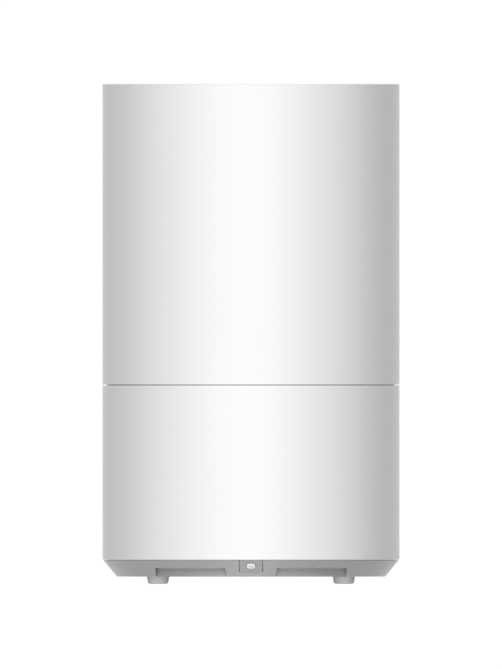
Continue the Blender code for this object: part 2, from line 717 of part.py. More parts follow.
def make_lid(white, silicone):
    """A dished lid inside the tank's rim, with a cup for the nozzle, drain slots and two finger notches."""
    rim_r, rim_z, skirt_z, cup_r, cup_z = 91.9, 318.6, LID_LEDGE_Z + 1.8, 22.9, 303.5
    outline = [
        (rim_r, skirt_z),
        (rim_r, rim_z - 0.5),
        (rim_r - 0.5, rim_z),
        (89.8, rim_z),
        (88.6, rim_z - 1.0),
        (34.0, 311.4),
        (cup_r, 311.0),
        (cup_r, cup_z),
        (DUCT_R + 0.6, cup_z),
        (DUCT_R + 0.6, cup_z - 2.2),
        (cup_r + 2.2, cup_z - 2.2),
        (cup_r + 2.2, 308.8),
        (34.0, 309.2),
        (88.0, 315.3),
        (89.6, 315.8),
        (89.6, skirt_z),
    ]
    lid = solid("lid", turned(outline), white)
    slots = bmesh.new()
    for index in range(8):
        add_block(slots, (28.6, -5.5, 300), (31.2, 5.5, 316), math.tau * (index + 0.5) / 8)
    notches = solid("finger_notches", rods(9.0, 303, 322, [(-90, 0), (90, 0)], 24))
    cut(lid, solid("drain_slots", slots), notches)
    seal = [(90.2, LID_LEDGE_Z + GAP), (91.6, LID_LEDGE_Z + GAP), (91.6, skirt_z - GAP), (90.2, skirt_z - GAP)]
    solid("lid_seal", turned(seal), silicone)


def make_nozzle(white):
    """The turning mist outlet: a shallow dome with a slot on one side and a fin to turn it by on the other."""
    foot_z = 303.8
    outline = [
        (20.4, foot_z),
        (22.4, foot_z),
        (22.4, 313.0),
        (21.6, 315.2),
        (18.0, 317.0),
        (10.0, 317.9),
        (0, 317.9),
        (0, 315.9),
        (10.0, 315.9),
        (17.0, 315.2),
        (20.4, 313.0),
    ]
    # The outline meets the axis in its middle, so it starts and ends there for the turning.
    outline = outline[7:] + outline[:7]
    nozzle = solid("mist_nozzle", turned(outline, sides=TUBE_SIDES), white)
    fin = solid("nozzle_fin", block((-1.3, 5, 316.6), (1.3, 17, 319.4)))
    fuse(nozzle, fin)
    cut(nozzle, solid("nozzle_slot", block((-11, -15, 308), (11, -5.5, 321))))


def main():
    for leftover in list(bpy.data.objects):
        bpy.data.objects.remove(leftover, do_unlink=True)
    white = look("white_abs", (0.86, 0.86, 0.86), 0.25)
    clear_white = look("white_pp", (0.80, 0.81, 0.81), 0.4)
    grey = look("grey_abs", (0.42, 0.42, 0.41), 0.4)
    rubber = look("grey_rubber", (0.40, 0.40, 0.39), 0.7)
    silicone = look("silicone", (0.75, 0.76, 0.76), 0.5)
    foam = look("foam", (0.16, 0.16, 0.17), 0.95)
    dark = look("black_plastic", (0.03, 0.03, 0.03), 0.45)
    green = look("circuit_board", (0.02, 0.16, 0.07), 0.45)
    steel = look("steel", (0.62, 0.62, 0.60), 0.3, 1.0)
    brass = look("brass", (0.75, 0.58, 0.30), 0.3, 1.0)
    aluminium = look("aluminium", (0.70, 0.71, 0.72), 0.35, 1.0)
    red = look("red_sleeve", (0.45, 0.03, 0.02), 0.5)

    slope = slope_frame()
    make_base_shell(white)
    make_bottom_cover(grey, slope)
    make_feet(rubber)
    make_cover_screws(steel)
    make_button(white, grey, dark, green, slope)
    make_power(dark, brass, green, aluminium)
    make_leads(red, clear_white, dark)
    make_fan(dark, foam, steel)
    make_air_duct(clear_white)
    make_basin(clear_white)
    make_mist_maker(steel, silicone, steel)
    make_air_hood(clear_white)
    make_float(clear_white, clear_white, green)
    make_tank(white)
    make_mist_path(clear_white, silicone)
    make_valve(clear_white, silicone, steel)
    make_lid(white, silicone)
    make_nozzle(white)


main()
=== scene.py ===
"""A top-filled cool mist humidifier, in the order of its assembly, from the bottom cover to the nozzle.

Lengths are in millimetres until a mesh is finished, when they turn into the frame's metres. Z is up, the
front is -Y, and the body's axis is the Z axis.
"""

import math

import bmesh
import bpy
from mathutils import Matrix, Vector


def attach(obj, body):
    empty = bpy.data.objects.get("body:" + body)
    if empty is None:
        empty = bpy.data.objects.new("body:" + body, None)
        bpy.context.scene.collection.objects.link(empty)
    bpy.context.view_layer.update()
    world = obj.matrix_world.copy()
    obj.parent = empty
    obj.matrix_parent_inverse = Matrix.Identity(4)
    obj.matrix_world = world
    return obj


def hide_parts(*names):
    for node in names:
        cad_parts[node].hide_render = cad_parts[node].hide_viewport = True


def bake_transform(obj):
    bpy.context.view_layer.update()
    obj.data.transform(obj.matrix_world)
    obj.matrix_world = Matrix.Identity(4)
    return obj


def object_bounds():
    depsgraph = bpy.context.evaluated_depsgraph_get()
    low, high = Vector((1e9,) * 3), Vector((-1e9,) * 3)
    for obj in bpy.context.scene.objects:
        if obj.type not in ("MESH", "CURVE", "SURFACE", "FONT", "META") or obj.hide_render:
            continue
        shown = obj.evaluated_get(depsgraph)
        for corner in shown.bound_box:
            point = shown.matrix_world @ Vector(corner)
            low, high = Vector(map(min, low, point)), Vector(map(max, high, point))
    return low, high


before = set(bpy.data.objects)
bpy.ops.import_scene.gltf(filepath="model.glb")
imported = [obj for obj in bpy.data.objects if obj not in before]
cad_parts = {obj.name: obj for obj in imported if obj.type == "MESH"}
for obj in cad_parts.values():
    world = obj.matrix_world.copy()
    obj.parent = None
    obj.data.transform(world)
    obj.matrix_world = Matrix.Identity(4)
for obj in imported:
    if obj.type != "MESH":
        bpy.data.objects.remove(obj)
cad_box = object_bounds()


# ---- Studio ----
# A wide softbox faces the front, black flags stand at both sides and a white backdrop glows behind. They give
# the white body a bright middle, darker flanks and a light line along each edge. The floor is a light table:
# a pale sheet that lets the light from below through, with a second sheet under it.

mm = 0.001
low_corner, high_corner = cad_box
body_height = (high_corner.z - low_corner.z) / mm
frame_height = body_height * 1.337
eye_height = body_height * 0.4987


def srgb(code):
    """The linear colour, with full alpha, of an sRGB hex code such as "f1f1f0"."""
    shades = [int(code[start : start + 2], 16) / 255 for start in (0, 2, 4)]
    return (*(c / 12.92 if c <= 0.04045 else ((c + 0.055) / 1.055) ** 2.4 for c in shades), 1.0)


def add_node(tree, kind, inputs=(), **settings):
    """Adds a node with its settings. Each input is a plain value, or the output of another node to link."""
    made = tree.nodes.new(kind)
    for name, value in settings.items():
        setattr(made, name, value)
    for name, value in dict(inputs).items():
        if isinstance(value, bpy.types.NodeSocket):
            tree.links.new(value, made.inputs[name])
        else:
            made.inputs[name].default_value = value
    return made


# The light around the body, by the angle from the front towards the right, in degrees.
light_round = [
    (-180, 1.06),
    (-150, 0.78),
    (-130, 0.60),
    (-112, 0.10),
    (-66, 0.0),
    (-45, 0.53),
    (-25, 1.53),
    (-6, 2.08),
    (4, 2.04),
    (23, 1.30),
    (42, 0.42),
    (58, 0.0),
    (108, 0.0),
    (125, 0.46),
    (142, 0.82),
    (180, 1.06),
]
brightest = max(light for angle, light in light_round)
overhead_light = 1.25

world = bpy.data.worlds.new("studio")
world.use_nodes = True
bpy.context.scene.world = world
tree = world.node_tree
tree.nodes.clear()
coordinates = add_node(tree, "ShaderNodeTexCoord")
direction = add_node(tree, "ShaderNodeSeparateXYZ", {"Vector": coordinates.outputs["Generated"]})
rightward, upward = direction.outputs["X"], direction.outputs["Z"]
frontward = add_node(tree, "ShaderNodeMath", {0: direction.outputs["Y"], 1: -1.0}, operation="MULTIPLY")
angle = add_node(tree, "ShaderNodeMath", {0: rightward, 1: frontward.outputs[0]}, operation="ARCTAN2")
half_turn = {"From Min": -math.pi, "From Max": math.pi}
turn = add_node(tree, "ShaderNodeMapRange", {"Value": angle.outputs[0], **half_turn})
ramp = add_node(tree, "ShaderNodeValToRGB", {"Fac": turn.outputs["Result"]})
stops = ramp.color_ramp.elements
stops[0].position, stops[1].position = 0.0, 1.0
for place, light in light_round[1:-1]:
    stops.new((place + 180) / 360)
for stop, (place, light) in zip(stops, light_round):
    shade = light / brightest
    stop.color = (shade, shade, shade, 1.0)
around = add_node(tree, "ShaderNodeBackground", {"Color": ramp.outputs["Color"], "Strength": brightest})
above = add_node(tree, "ShaderNodeBackground", {"Color": srgb("ffffff"), "Strength": overhead_light})
overhead_edge = {"Value": upward, "From Min": 0.80, "From Max": 0.94}
rise = add_node(tree, "ShaderNodeMapRange", overhead_edge, interpolation_type="SMOOTHSTEP").outputs["Result"]
sky = add_node(tree, "ShaderNodeMixShader", {0: rise, 1: around.outputs[0], 2: above.outputs[0]})
add_node(tree, "ShaderNodeOutputWorld", {"Surface": sky.outputs[0]})

camera_data = bpy.data.cameras.new("camera")
camera_data.type = "ORTHO"
camera_data.ortho_scale = frame_height * mm
camera_data.clip_end = 50
camera = bpy.data.objects.new("camera", camera_data)
camera.location = (0, -2, eye_height * mm)
camera.rotation_euler = (math.pi / 2, 0, 0)
bpy.context.scene.collection.objects.link(camera)
bpy.context.scene.camera = camera
bpy.context.scene.view_settings.view_transform = "Standard"

floor_half, sheet_gap = 40.0, 0.4
floor_mesh = bpy.data.meshes.new("floor")
square = ((-1, -1), (1, -1), (1, 1), (-1, 1))
floor_corners = [(x * floor_half, y * floor_half, z) for z in (0.0, -sheet_gap) for x, y in square]
floor_mesh.from_pydata(floor_corners, [], [(0, 1, 2, 3), (4, 5, 6, 7)])
floor = bpy.data.objects.new("floor", floor_mesh)
bpy.context.scene.collection.objects.link(floor)
floor.visible_diffuse = False
floor.visible_glossy = False
floor.visible_shadow = False


def new_material(name, **values):
    """A material, its node tree and its main shader, with values set on the shader's inputs."""
    made = bpy.data.materials.new(name)
    made.use_nodes = True
    shader = made.node_tree.nodes["Principled BSDF"]
    for socket, value in values.items():
        shader.inputs[socket].default_value = value
    return made, made.node_tree, shader


# Matt paper, with fibres that mottle its white.
paper, tree, shader = new_material("matt_paper", Roughness=0.9)
spot = add_node(tree, "ShaderNodeTexCoord").outputs["Object"]
fibres = add_node(tree, "ShaderNodeTexNoise", {"Vector": spot, "Scale": 60.0}).outputs["Fac"]
sheet = add_node(tree, "ShaderNodeMix", {0: fibres, 6: srgb("f0f0ef"), 7: srgb("f4f4f3")}, data_type="RGBA")
tree.links.new(sheet.outputs[2], shader.inputs["Base Color"])
floor_mesh.materials.append(paper)


# ---- Bottom cover ----
# The grey skirt and floor are one ABS moulding, turned in at the foot, with four finger grips, slots for the
# fan's air, sockets for the feet and wells for its screws. Its tool is spark-eroded, so the grey looks satin.

cover_foot_r, cover_foot_z = 85.8, 4.7
cover_top_r, cover_top_z = 94.5, 15.3
body_r, bore_r = 95.0, 92.4
round_steps = 192
skirt_lean = math.atan2(cover_top_r - cover_foot_r, cover_top_z - cover_foot_z)
corners = [(x, y) for y in (-1, 1) for x in (-1, 1)]
foot_names = ("foot_front_left", "foot_front_right", "foot_rear_left", "foot_rear_right")
foot_places = {name: (x * 59.4, y * 44.0) for name, (x, y) in zip(foot_names, corners)}
screw_places = {f"cover_screw_{index}": (x * 30.0, y * 70.0) for index, (x, y) in enumerate(corners, 1)}
fan_y, fan_hole = 17.0, 25.0


def rounded(outline, arc_steps=6):
    """Replaces each corner (x, y, radius) of a closed outline with an arc. A corner (x, y) stays sharp."""
    points = []
    for place, (x, y, *radius) in enumerate(outline):
        corner = Vector((x, y))
        if not radius:
            points.append(corner)
            continue
        back = (Vector(outline[place - 1][:2]) - corner).normalized()
        ahead = (Vector(outline[(place + 1) % len(outline)][:2]) - corner).normalized()
        half = back.angle(ahead) / 2
        centre = corner + (back + ahead).normalized() * radius[0] / math.sin(half)
        reach = radius[0] / math.tan(half)
        start, end = corner + back * reach - centre, corner + ahead * reach - centre
        points += [centre + start.slerp(end, step / arc_steps) * radius[0] for step in range(arc_steps + 1)]
    return points


def turned(outline, steps=round_steps, at=(0, 0), arc_steps=6):
    """Turns a closed outline of (radius, height) round an upright axis. Ends on the axis close to a point."""
    shape = bmesh.new()
    rings = []
    for radius, height in rounded(outline, arc_steps):
        if radius < 1e-6:
            rings.append([shape.verts.new((0, 0, height))] * steps)
            continue
        turns = [math.tau * step / steps for step in range(steps)]
        rings.append([shape.verts.new((radius * math.cos(a), radius * math.sin(a), height)) for a in turns])
    for ring, next_ring in zip(rings, rings[1:] + rings[:1]):
        for step in range(steps):
            after = (step + 1) % steps
            corners = [ring[step], ring[after], next_ring[after], next_ring[step]]
            corners = [vert for spot, vert in enumerate(corners) if vert not in corners[:spot]]
            if len(corners) > 2:
                shape.faces.new(corners)
    bmesh.ops.translate(shape, vec=(*at, 0), verts=shape.verts)
    return shape


def solid(name, shape):
    """Turns a mesh in millimetres into an object in metres."""
    shape.normal_update()
    bmesh.ops.recalc_face_normals(shape, faces=shape.faces)
    shape.transform(Matrix.Scale(mm, 4))
    mesh = bpy.data.meshes.new(name)
    shape.to_mesh(mesh)
    shape.free()
    made = bpy.data.objects.new(name, mesh)
    bpy.context.scene.collection.objects.link(made)
    return made


def block(low, high, place=None):
    """A box between two corners."""
    low, high = Vector(low), Vector(high)
    spot = Matrix.Translation((low + high) / 2) @ Matrix.Diagonal((*(high - low), 1))
    shape = bmesh.new()
    bmesh.ops.create_cube(shape, size=1, matrix=(place or Matrix()) @ spot)
    return shape


def lofted(loops, closed=False):
    """Joins loops of points, each to the next. The two ends are capped, or joined to each other."""
    shape = bmesh.new()
    rings = [[shape.verts.new(point) for point in loop] for loop in loops]
    for ring, next_ring in zip(rings, rings[1:] + (rings[:1] if closed else [])):
        for spot in range(len(ring)):
            after = (spot + 1) % len(ring)
            shape.faces.new((ring[spot], ring[after], next_ring[after], next_ring[spot]))
    if not closed:
        shape.faces.new(rings[0])
        shape.faces.new(rings[-1])
    return shape


def extruded(outline, low, high, axes="XYZ"):
    """Pulls a closed outline along the last of the three axes, from low to high."""
    order = [axes.index(axis) for axis in "XYZ"]
    points = rounded(outline)
    return lofted([[[(x, y, along)[spot] for spot in order] for x, y in points] for along in (low, high)])


def rod(radius, low, high, at=(0, 0), steps=32):
    """A plain upright cylinder."""
    return turned([(0, low), (radius, low), (radius, high), (0, high)], steps, at)


def rectangle(low, high, radius):
    """The outline of a rectangle between two corners, with round corners."""
    (x0, y0), (x1, y1) = low, high
    return [(x, y, radius) for x, y in ((x0, y0), (x1, y0), (x1, y1), (x0, y1))]


def joined(shapes):
    """One mesh from several, which are used up."""
    whole = bmesh.new()
    for shape in shapes:
        part = bpy.data.meshes.new("part")
        shape.to_mesh(part)
        shape.free()
        whole.from_mesh(part)
        bpy.data.meshes.remove(part)
    return whole


def placed(shape, place):
    """Moves a mesh in millimetres, and gives it back."""
    shape.transform(place)
    return shape


def carve(piece, operation, *shapes):
    """Cuts, adds or keeps what each shape covers, for good."""
    tools = [solid("tool", shape) for shape in shapes]
    for tool in tools:
        step = piece.modifiers.new("carve", "BOOLEAN")
        step.operation = operation
        step.object = tool
    settled = bpy.data.meshes.new_from_object(piece.evaluated_get(bpy.context.evaluated_depsgraph_get()))
    piece.modifiers.clear()
    piece.data = settled
    for tool in tools:
        bpy.data.objects.remove(tool)
    return piece


def finish(piece, body, material, slot, *nodes, edge=0.0):
    """Rounds the cut edges, evens the shading, gives the piece its material and body, and hides the CAD nodes
    that it stands in for.
    """
    if edge:
        bevel = piece.modifiers.new("edges", "BEVEL")
        bevel.width = edge * mm
        bevel.segments = 3
        bevel.limit_method = "ANGLE"
        bevel.angle_limit = math.radians(35)
    piece.data.shade_smooth()
    piece.data.set_sharp_from_angle(angle=math.radians(35))
    even = piece.modifiers.new("even_shading", "WEIGHTED_NORMAL")
    even.keep_sharp = True
    piece.data.materials.clear()
    piece.data.materials.append(material)
    if body:
        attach(piece, body)
    if nodes:
        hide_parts(*nodes)
    return piece


def plastic(name, light, dark, sheen_roughness, patch_mm, grain_mm, grain_depth_mm, ior=1.52):
    """A moulded plastic: a shade that drifts a little in patches, and a skin that copies the tool's."""
    made, tree, shader = new_material(name, IOR=ior)
    spot = add_node(tree, "ShaderNodeTexCoord").outputs["Object"]
    patch_scale, grain_scale = 1 / (patch_mm * mm), 1 / (grain_mm * mm)
    patches = add_node(tree, "ShaderNodeTexNoise", {"Vector": spot, "Scale": patch_scale, "Detail": 3.0})
    patches = patches.outputs["Fac"]
    shade = add_node(tree, "ShaderNodeMix", {0: patches, 6: srgb(dark), 7: srgb(light)}, data_type="RGBA")
    tree.links.new(shade.outputs[2], shader.inputs["Base Color"])
    smooth, rough = sheen_roughness
    span = {"From Min": 0.1, "From Max": 0.9, "To Min": smooth, "To Max": rough}
    gloss = add_node(tree, "ShaderNodeMapRange", {"Value": patches, **span})
    tree.links.new(gloss.outputs["Result"], shader.inputs["Roughness"])
    grain = add_node(tree, "ShaderNodeTexNoise", {"Vector": spot, "Scale": grain_scale, "Detail": 4.0})
    relief = {"Height": grain.outputs["Fac"], "Distance": grain_depth_mm * mm, "Strength": 0.6}
    skin = add_node(tree, "ShaderNodeBump", relief)
    tree.links.new(skin.outputs["Normal"], shader.inputs["Normal"])
    return made


# Satin grey ABS. Its grain is drawn at 0.9 mm, three times as coarse as spark erosion leaves, so that it
# shows.
satin_grey_abs = plastic("satin_grey_abs", "b0b0ae", "acacaa", (0.24, 0.32), 25, 0.9, 0.03, ior=1.5)

lip_r = bore_r - 0.4
cover_outline = [
    (0, cover_foot_z),
    (cover_foot_r, cover_foot_z, 1.3),
    (cover_top_r, cover_top_z, 0.25),
    (lip_r, cover_top_z),
    (lip_r, 21.0, 0.3),
    (lip_r - 1.8, 21.0, 0.3),
    (lip_r - 1.8, cover_top_z),
    (81.0, cover_top_z, 0.5),
    (81.0, 7.2, 0.8),
    (0, 7.2),
]
bottom_cover = solid("skirt_and_floor", turned(cover_outline))

board_posts = [(x, y) for x in (-76, -44) for y in (-30, 30)]
standoffs = [turned([(0, 6), (2.5, 6), (2.5, 20.0, 0.3), (0, 20.0)], 24, post) for post in board_posts]
fan_posts = [(x, fan_y + y) for x in (-fan_hole, fan_hole) for y in (-fan_hole, fan_hole)]
standoffs += [turned([(0, 6), (3.4, 6), (3.4, 9.7, 0.3), (0, 9.7)], 24, post) for post in fan_posts]
carve(bottom_cover, "UNION", joined(standoffs))

grip_roof, grip_wall_r = 10.2, 84.4
grip_outer_x, grip_inner_x, grip_inner_foot_x = 60.9, 17.3, 14.3
outer_flare, inner_flare = 0.12, 0.14
grip_ring = turned([(grip_wall_r, 3), (100, 3), (100, grip_roof), (grip_wall_r - 1.6, grip_roof, 0.3)])
grip_sides = []
for hand in (-1, 1):
    for way in (-1, 1):
        outline = [
            (hand * grip_outer_x, 2),
            (hand * grip_outer_x, 12),
            (hand * grip_inner_x, 12),
            (hand * grip_inner_foot_x, 2),
        ]
        grip_sides.append(extruded(outline, way * 40, way * 105, "XZY"))
        for vert in grip_sides[-1].verts:
            outer = abs(vert.co.x) > grip_outer_x - 0.1
            lean, mouth_y = (outer_flare, 62.0) if outer else (-inner_flare, 88.0)
            vert.co.x += hand * lean * (abs(vert.co.y) - mouth_y)
grips = solid("grips", grip_ring)
carve(grips, "INTERSECT", joined(grip_sides))
grip_tool = bmesh.new()
grip_tool.from_mesh(grips.data)
grip_tool.transform(Matrix.Scale(1 / mm, 4))
bpy.data.objects.remove(grips)

wells = [turned([(0, 4), (7.6, 4), (7.6, 6.0, 0.3), (0, 6.0)], 48, place) for place in foot_places.values()]
screw_well = [(0, 4), (3.9, 4), (3.9, 6.2), (1.9, 6.2), (1.9, 8), (0, 8)]
wells += [turned(screw_well, 32, place) for place in screw_places.values()]
slot_pitch, slot_half, grille_r = 6.0, 1.5, 26.0
for row in range(-4, 5):
    reach, y = math.sqrt(grille_r**2 - (row * slot_pitch) ** 2), fan_y + row * slot_pitch
    wells.append(extruded(rectangle((-reach, y - slot_half), (reach, y + slot_half), slot_half * 0.98), 3, 9))

# The button's own directions: across, up the slope, and straight out of the slope.
button_z = 11.4
button_y = -(cover_foot_r + (button_z - cover_foot_z) * math.tan(skirt_lean))
on_slope = Matrix.Translation((0, button_y, button_z)) @ Matrix.Rotation(math.pi / 2 + skirt_lean, 4, "X")
panel_slot = placed(block((-7.7, -5.2, -2.3), (7.7, 9, 3)), on_slope)
stem_hole = placed(rod(2.6, -9, -1.5), on_slope)
switch_recess = placed(block((-3.6, -3.6, -16), (3.6, 3.6, -8.2)), on_slope)
carve(bottom_cover, "DIFFERENCE", joined(wells))
carve(bottom_cover, "DIFFERENCE", panel_slot, stem_hole, switch_recess)
carve(bottom_cover, "DIFFERENCE", grip_tool)
finish(bottom_cover, "base", satin_grey_abs, "grey_abs", "bottom_cover", edge=0.25)


# ---- Feet ----
# Four moulded rubber feet, each pressed into its socket in the bottom cover. Rubber is matt, with a dusty
# bloom that lightens its grey all over.

grey_rubber = plastic("moulded_grey_rubber", "c8c8c5", "bebebb", (0.55, 0.68), 4, 0.6, 0.03, ior=1.5)
foot_outline = [(0, 0), (6.4, 0, 1.7), (7.2, 5.0, 0.3), (7.2, 5.7), (0, 5.7)]
for name, place in foot_places.items():
    foot = solid(name + "_moulding", turned(foot_outline, 64, place))
    finish(foot, "base", grey_rubber, "grey_rubber", name)


# ---- Switch ----
# A push switch, soldered to a small glass-fibre board, stands square to the slope on a wedge moulded in grey
# ABS. The board has a green solder mask over its copper tracks, which show through it as lighter lines.


def circuit_board(name, mask, track, way_mm, line_mm):
    """A glass-fibre board: tracks under a glossy mask, and bare tinned pads."""
    made, tree, shader = new_material(name, IOR=1.55, Roughness=0.32)
    spot = add_node(tree, "ShaderNodeTexCoord").outputs["Object"]
    tracks = add_node(
        tree,
        "ShaderNodeTexBrick",
        {
            "Vector": spot,
            "Color1": srgb(mask),
            "Color2": srgb(mask),
            "Mortar": srgb(track),
            "Scale": 1 / mm,
            "Mortar Size": line_mm,
            "Brick Width": way_mm * 3,
            "Row Height": way_mm,
        },
    )
    pad_pattern = {"Vector": spot, "Scale": 1 / (way_mm * 2 * mm), "Randomness": 0.35}
    pads = add_node(tree, "ShaderNodeTexVoronoi", pad_pattern).outputs["Distance"]
    bare = add_node(tree, "ShaderNodeMath", {0: pads, 1: 0.16}, operation="LESS_THAN").outputs[0]
    tin = srgb("c9c9c4")
    shade = add_node(tree, "ShaderNodeMix", {0: bare, 6: tracks.outputs["Color"], 7: tin}, data_type="RGBA")
    tree.links.new(shade.outputs[2], shader.inputs["Base Color"])
    tree.links.new(bare, shader.inputs["Metallic"])
    return made


# Green mask over glass fibre and copper: a clear gloss, lighter along the tracks, with bright tinned pads.
green_glass_fibre = circuit_board("green_masked_glass_fibre", "0e4a26", "2c7a45", 2.2, 0.35)
# Black PBT has a fine textured skin, which greys its highlights.
black_pbt = plastic("moulded_black_pbt", "1f1f20", "171718", (0.38, 0.5), 12, 0.7, 0.02, ior=1.53)

seat_out, wedge_near_y, wedge_far_y = -13.0, -80.7, -89.0
seat_point = on_slope @ Vector((0, 0, seat_out))
wedge_outline = [(wedge_near_y, 15.6), (wedge_far_y, 15.6)]
for y in (wedge_far_y, wedge_near_y):
    wedge_outline.append((y, seat_point.z + (seat_point.y - y) / math.tan(skirt_lean)))
switch_wedge = solid("switch_wedge", extruded(wedge_outline, -9, 9, "YZX"))
wedge_bore = placed(rod(2.6, -15, -3, steps=48), on_slope)
wedge_seat = placed(block((-3.6, -3.6, -14), (3.6, 3.6, -8.2)), on_slope)
carve(switch_wedge, "DIFFERENCE", wedge_bore, wedge_seat)
finish(switch_wedge, "base", satin_grey_abs, "grey_abs", "switch_carrier", edge=0.3)

switch_circuit = extruded(rectangle((-9.5, -3.6), (9.5, 11.5), 1.0), seat_out - 1.5, seat_out - 0.3)
switch_circuit = solid("switch_circuit", placed(switch_circuit, on_slope))
finish(switch_circuit, "base", green_glass_fibre, "circuit_board", "switch_board")
switch_body = extruded(rectangle((-3.1, -3.1), (3.1, 3.1), 0.5), -12.7, -9.3)
push_switch = solid("push_switch", placed(switch_body, on_slope))
carve(push_switch, "UNION", placed(turned([(0, -10), (1.6, -10), (1.6, -8.4, 0.3), (0, -8.4)], 32), on_slope))
finish(push_switch, "base", black_pbt, "black_plastic", "tact_switch", edge=0.15)


# ---- Button panel and power button ----
# A flush grey panel in the skirt frames an oval white button, printed in grey with two ripples of mist. The
# button is pressed square to the slope, and its stem reaches the switch behind.

panel_out, panel_in, panel_low, panel_half = -0.25, -2.0, -5.15, 7.25
panel_side = [(panel_low, panel_out), (panel_low, panel_in)]
for out in (panel_in, panel_out):
    along = (cover_top_z - button_z + out * math.sin(skirt_lean)) / math.cos(skirt_lean)
    panel_side.append((along, out))
button_panel = placed(extruded(panel_side, -panel_half, panel_half, "YZX"), on_slope)
button_panel = solid("button_surround", button_panel)


def oval(half_x, half_y, low, high, edge_r=0.001, steps=64):
    """An upright block, between an oval and a rectangle, with a rounded upper rim."""
    arc = [math.pi / 2 * step / 6 for step in range(7)]
    rim = [(1 - edge_r / half_x * (1 - math.cos(a)), high - edge_r * (1 - math.sin(a))) for a in arc]
    shape = turned([(0, low), (1, low), *rim, (0, high)], steps)
    for vert in shape.verts:
        reach = max(math.hypot(vert.co.x, vert.co.y), 1e-9)
        fuller = (abs(vert.co.x / reach) ** 3 + abs(vert.co.y / reach) ** 3 + 1e-9) ** (-1 / 3)
        vert.co.x *= half_x * fuller
        vert.co.y *= half_y * fuller
    return shape


carve(button_panel, "DIFFERENCE", placed(oval(3.02, 2.6, -5, 5), on_slope))
# The panel is its own moulding, in a grey a little darker than the skirt's.
panel_grey_abs = plastic("panel_grey_abs", "a7a7a5", "a3a3a1", (0.26, 0.34), 25, 0.9, 0.03, ior=1.5)
finish(button_panel, "base", panel_grey_abs, "grey_abs", "button_panel", edge=0.12)

# Glossy white ABS, from a polished tool. The gloss is clean, with the faintest waviness.
glossy_white_abs = plastic("glossy_white_abs", "f2f2f1", "f0f0ef", (0.24, 0.28), 60, 9.0, 0.004)
power_button = solid("oval_button", placed(oval(2.82, 2.0, -1.4, 0.4, 0.35), on_slope))
carve(power_button, "UNION", placed(rod(2.0, -7.5, -1.0, steps=24), on_slope))
finish(power_button, "button", glossy_white_abs, "white_abs", "power_button")

# Pad printing in grey ink, which lies flat and a little duller than the gloss around it.
grey_pad_print = plastic("grey_pad_print", "a6a6a6", "9e9e9e", (0.45, 0.55), 3, 0.5, 0.003)
ripples = []
for row in (-0.42, 0.42):
    crest = [(1.5 * t, row + 0.22 * math.sin(math.tau * t)) for t in [step / 16 - 1 for step in range(33)]]
    outline = [(x, y + 0.13) for x, y in crest] + [(x, y - 0.13) for x, y in reversed(crest)]
    ripples.append(placed(extruded(outline, 0.38, 0.43), on_slope))
finish(solid("button_mark", joined(ripples)), "button", grey_pad_print, "grey_abs")


# ---- Intake filter and fan ----
# A disc of open-cell foam lies over the intake slots, and a flat axial fan, moulded in black PBT, stands over
# it on four posts. Its rotor has seven cambered blades, and two zinc-plated screws hold the frame down.

# Open foam swallows light: a dull charcoal web, with painted shade darkening each pore. Thirty pores to the
# inch are 0.85 mm apart.
black_foam, tree, shader = new_material("open_cell_polyurethane_foam", Roughness=0.95)
spot = add_node(tree, "ShaderNodeTexCoord").outputs["Object"]
pores = add_node(tree, "ShaderNodeTexVoronoi", {"Vector": spot, "Scale": 1 / (0.85 * mm)}).outputs["Distance"]
web_and_painted_pore_shade = add_node(tree, "ShaderNodeMix", {0: pores, 6: srgb("0b0b0c"), 7: srgb("3a3a3c")}, data_type="RGBA")
tree.links.new(web_and_painted_pore_shade.outputs[2], shader.inputs["Base Color"])
pits = add_node(tree, "ShaderNodeBump", {"Height": pores, "Distance": 0.6 * mm})
tree.links.new(pits.outputs["Normal"], shader.inputs["Normal"])
filter_low, filter_high = 7.5, 9.5
foam_outline = [(0, filter_low), (28, filter_low, 0.3), (28, filter_high, 0.4), (0, filter_high)]
intake_foam = solid("intake_foam", turned(foam_outline, 96, (0, fan_y)))
finish(intake_foam, "base", black_foam, "filter_foam", "intake_filter")

fan_low, fan_high, fan_half, throat_r, hub_r = 10.0, 25.0, 30.0, 28.0, 12.0
flange = rectangle((-fan_half, fan_y - fan_half), (fan_half, fan_y + fan_half), 4.0)
fan_housing = solid("fan_housing", extruded(flange, fan_low, fan_low + 3.2))
# The barrel and the posts stop just short of the flanges' faces, so that no two faces lie in one plane.
barrel_low, barrel_high, post_low, post_high = fan_low + 0.1, fan_high - 0.1, fan_low + 0.2, fan_high - 0.2
barrel = [(throat_r - 1, barrel_low), (29.6, barrel_low), (29.6, barrel_high), (throat_r - 1, barrel_high)]
posts = joined([rod(3.9, post_low, post_high, post) for post in fan_posts])
carve(fan_housing, "UNION", extruded(flange, fan_high - 3.2, fan_high), turned(barrel, 96, (0, fan_y)), posts)
carve(fan_housing, "DIFFERENCE", rod(throat_r, fan_low - 1, fan_high + 1, (0, fan_y), 96))
plate_z = fan_low + 1.6
three_turns = [Matrix.Rotation(math.radians(turn), 4, "Z") for turn in (30, 150, 270)]
strut_ends = ((hub_r - 2, -1.5, post_low), (throat_r + 1, 1.5, plate_z - 0.1))
struts = [block(*strut_ends, turn) for turn in three_turns]
motor_plate = turned([(0, fan_low), (hub_r, fan_low, 0.3), (hub_r, plate_z), (0, plate_z)], 64)
to_fan = Matrix.Translation((0, fan_y, 0))
carve(fan_housing, "UNION", *[placed(shape, to_fan) for shape in (motor_plate, *struts)])
carve(fan_housing, "DIFFERENCE", joined([rod(2.2, 9, 26, post) for post in fan_posts]))
finish(fan_housing, "base", black_pbt, "black_plastic", "fan_frame", edge=0.2)

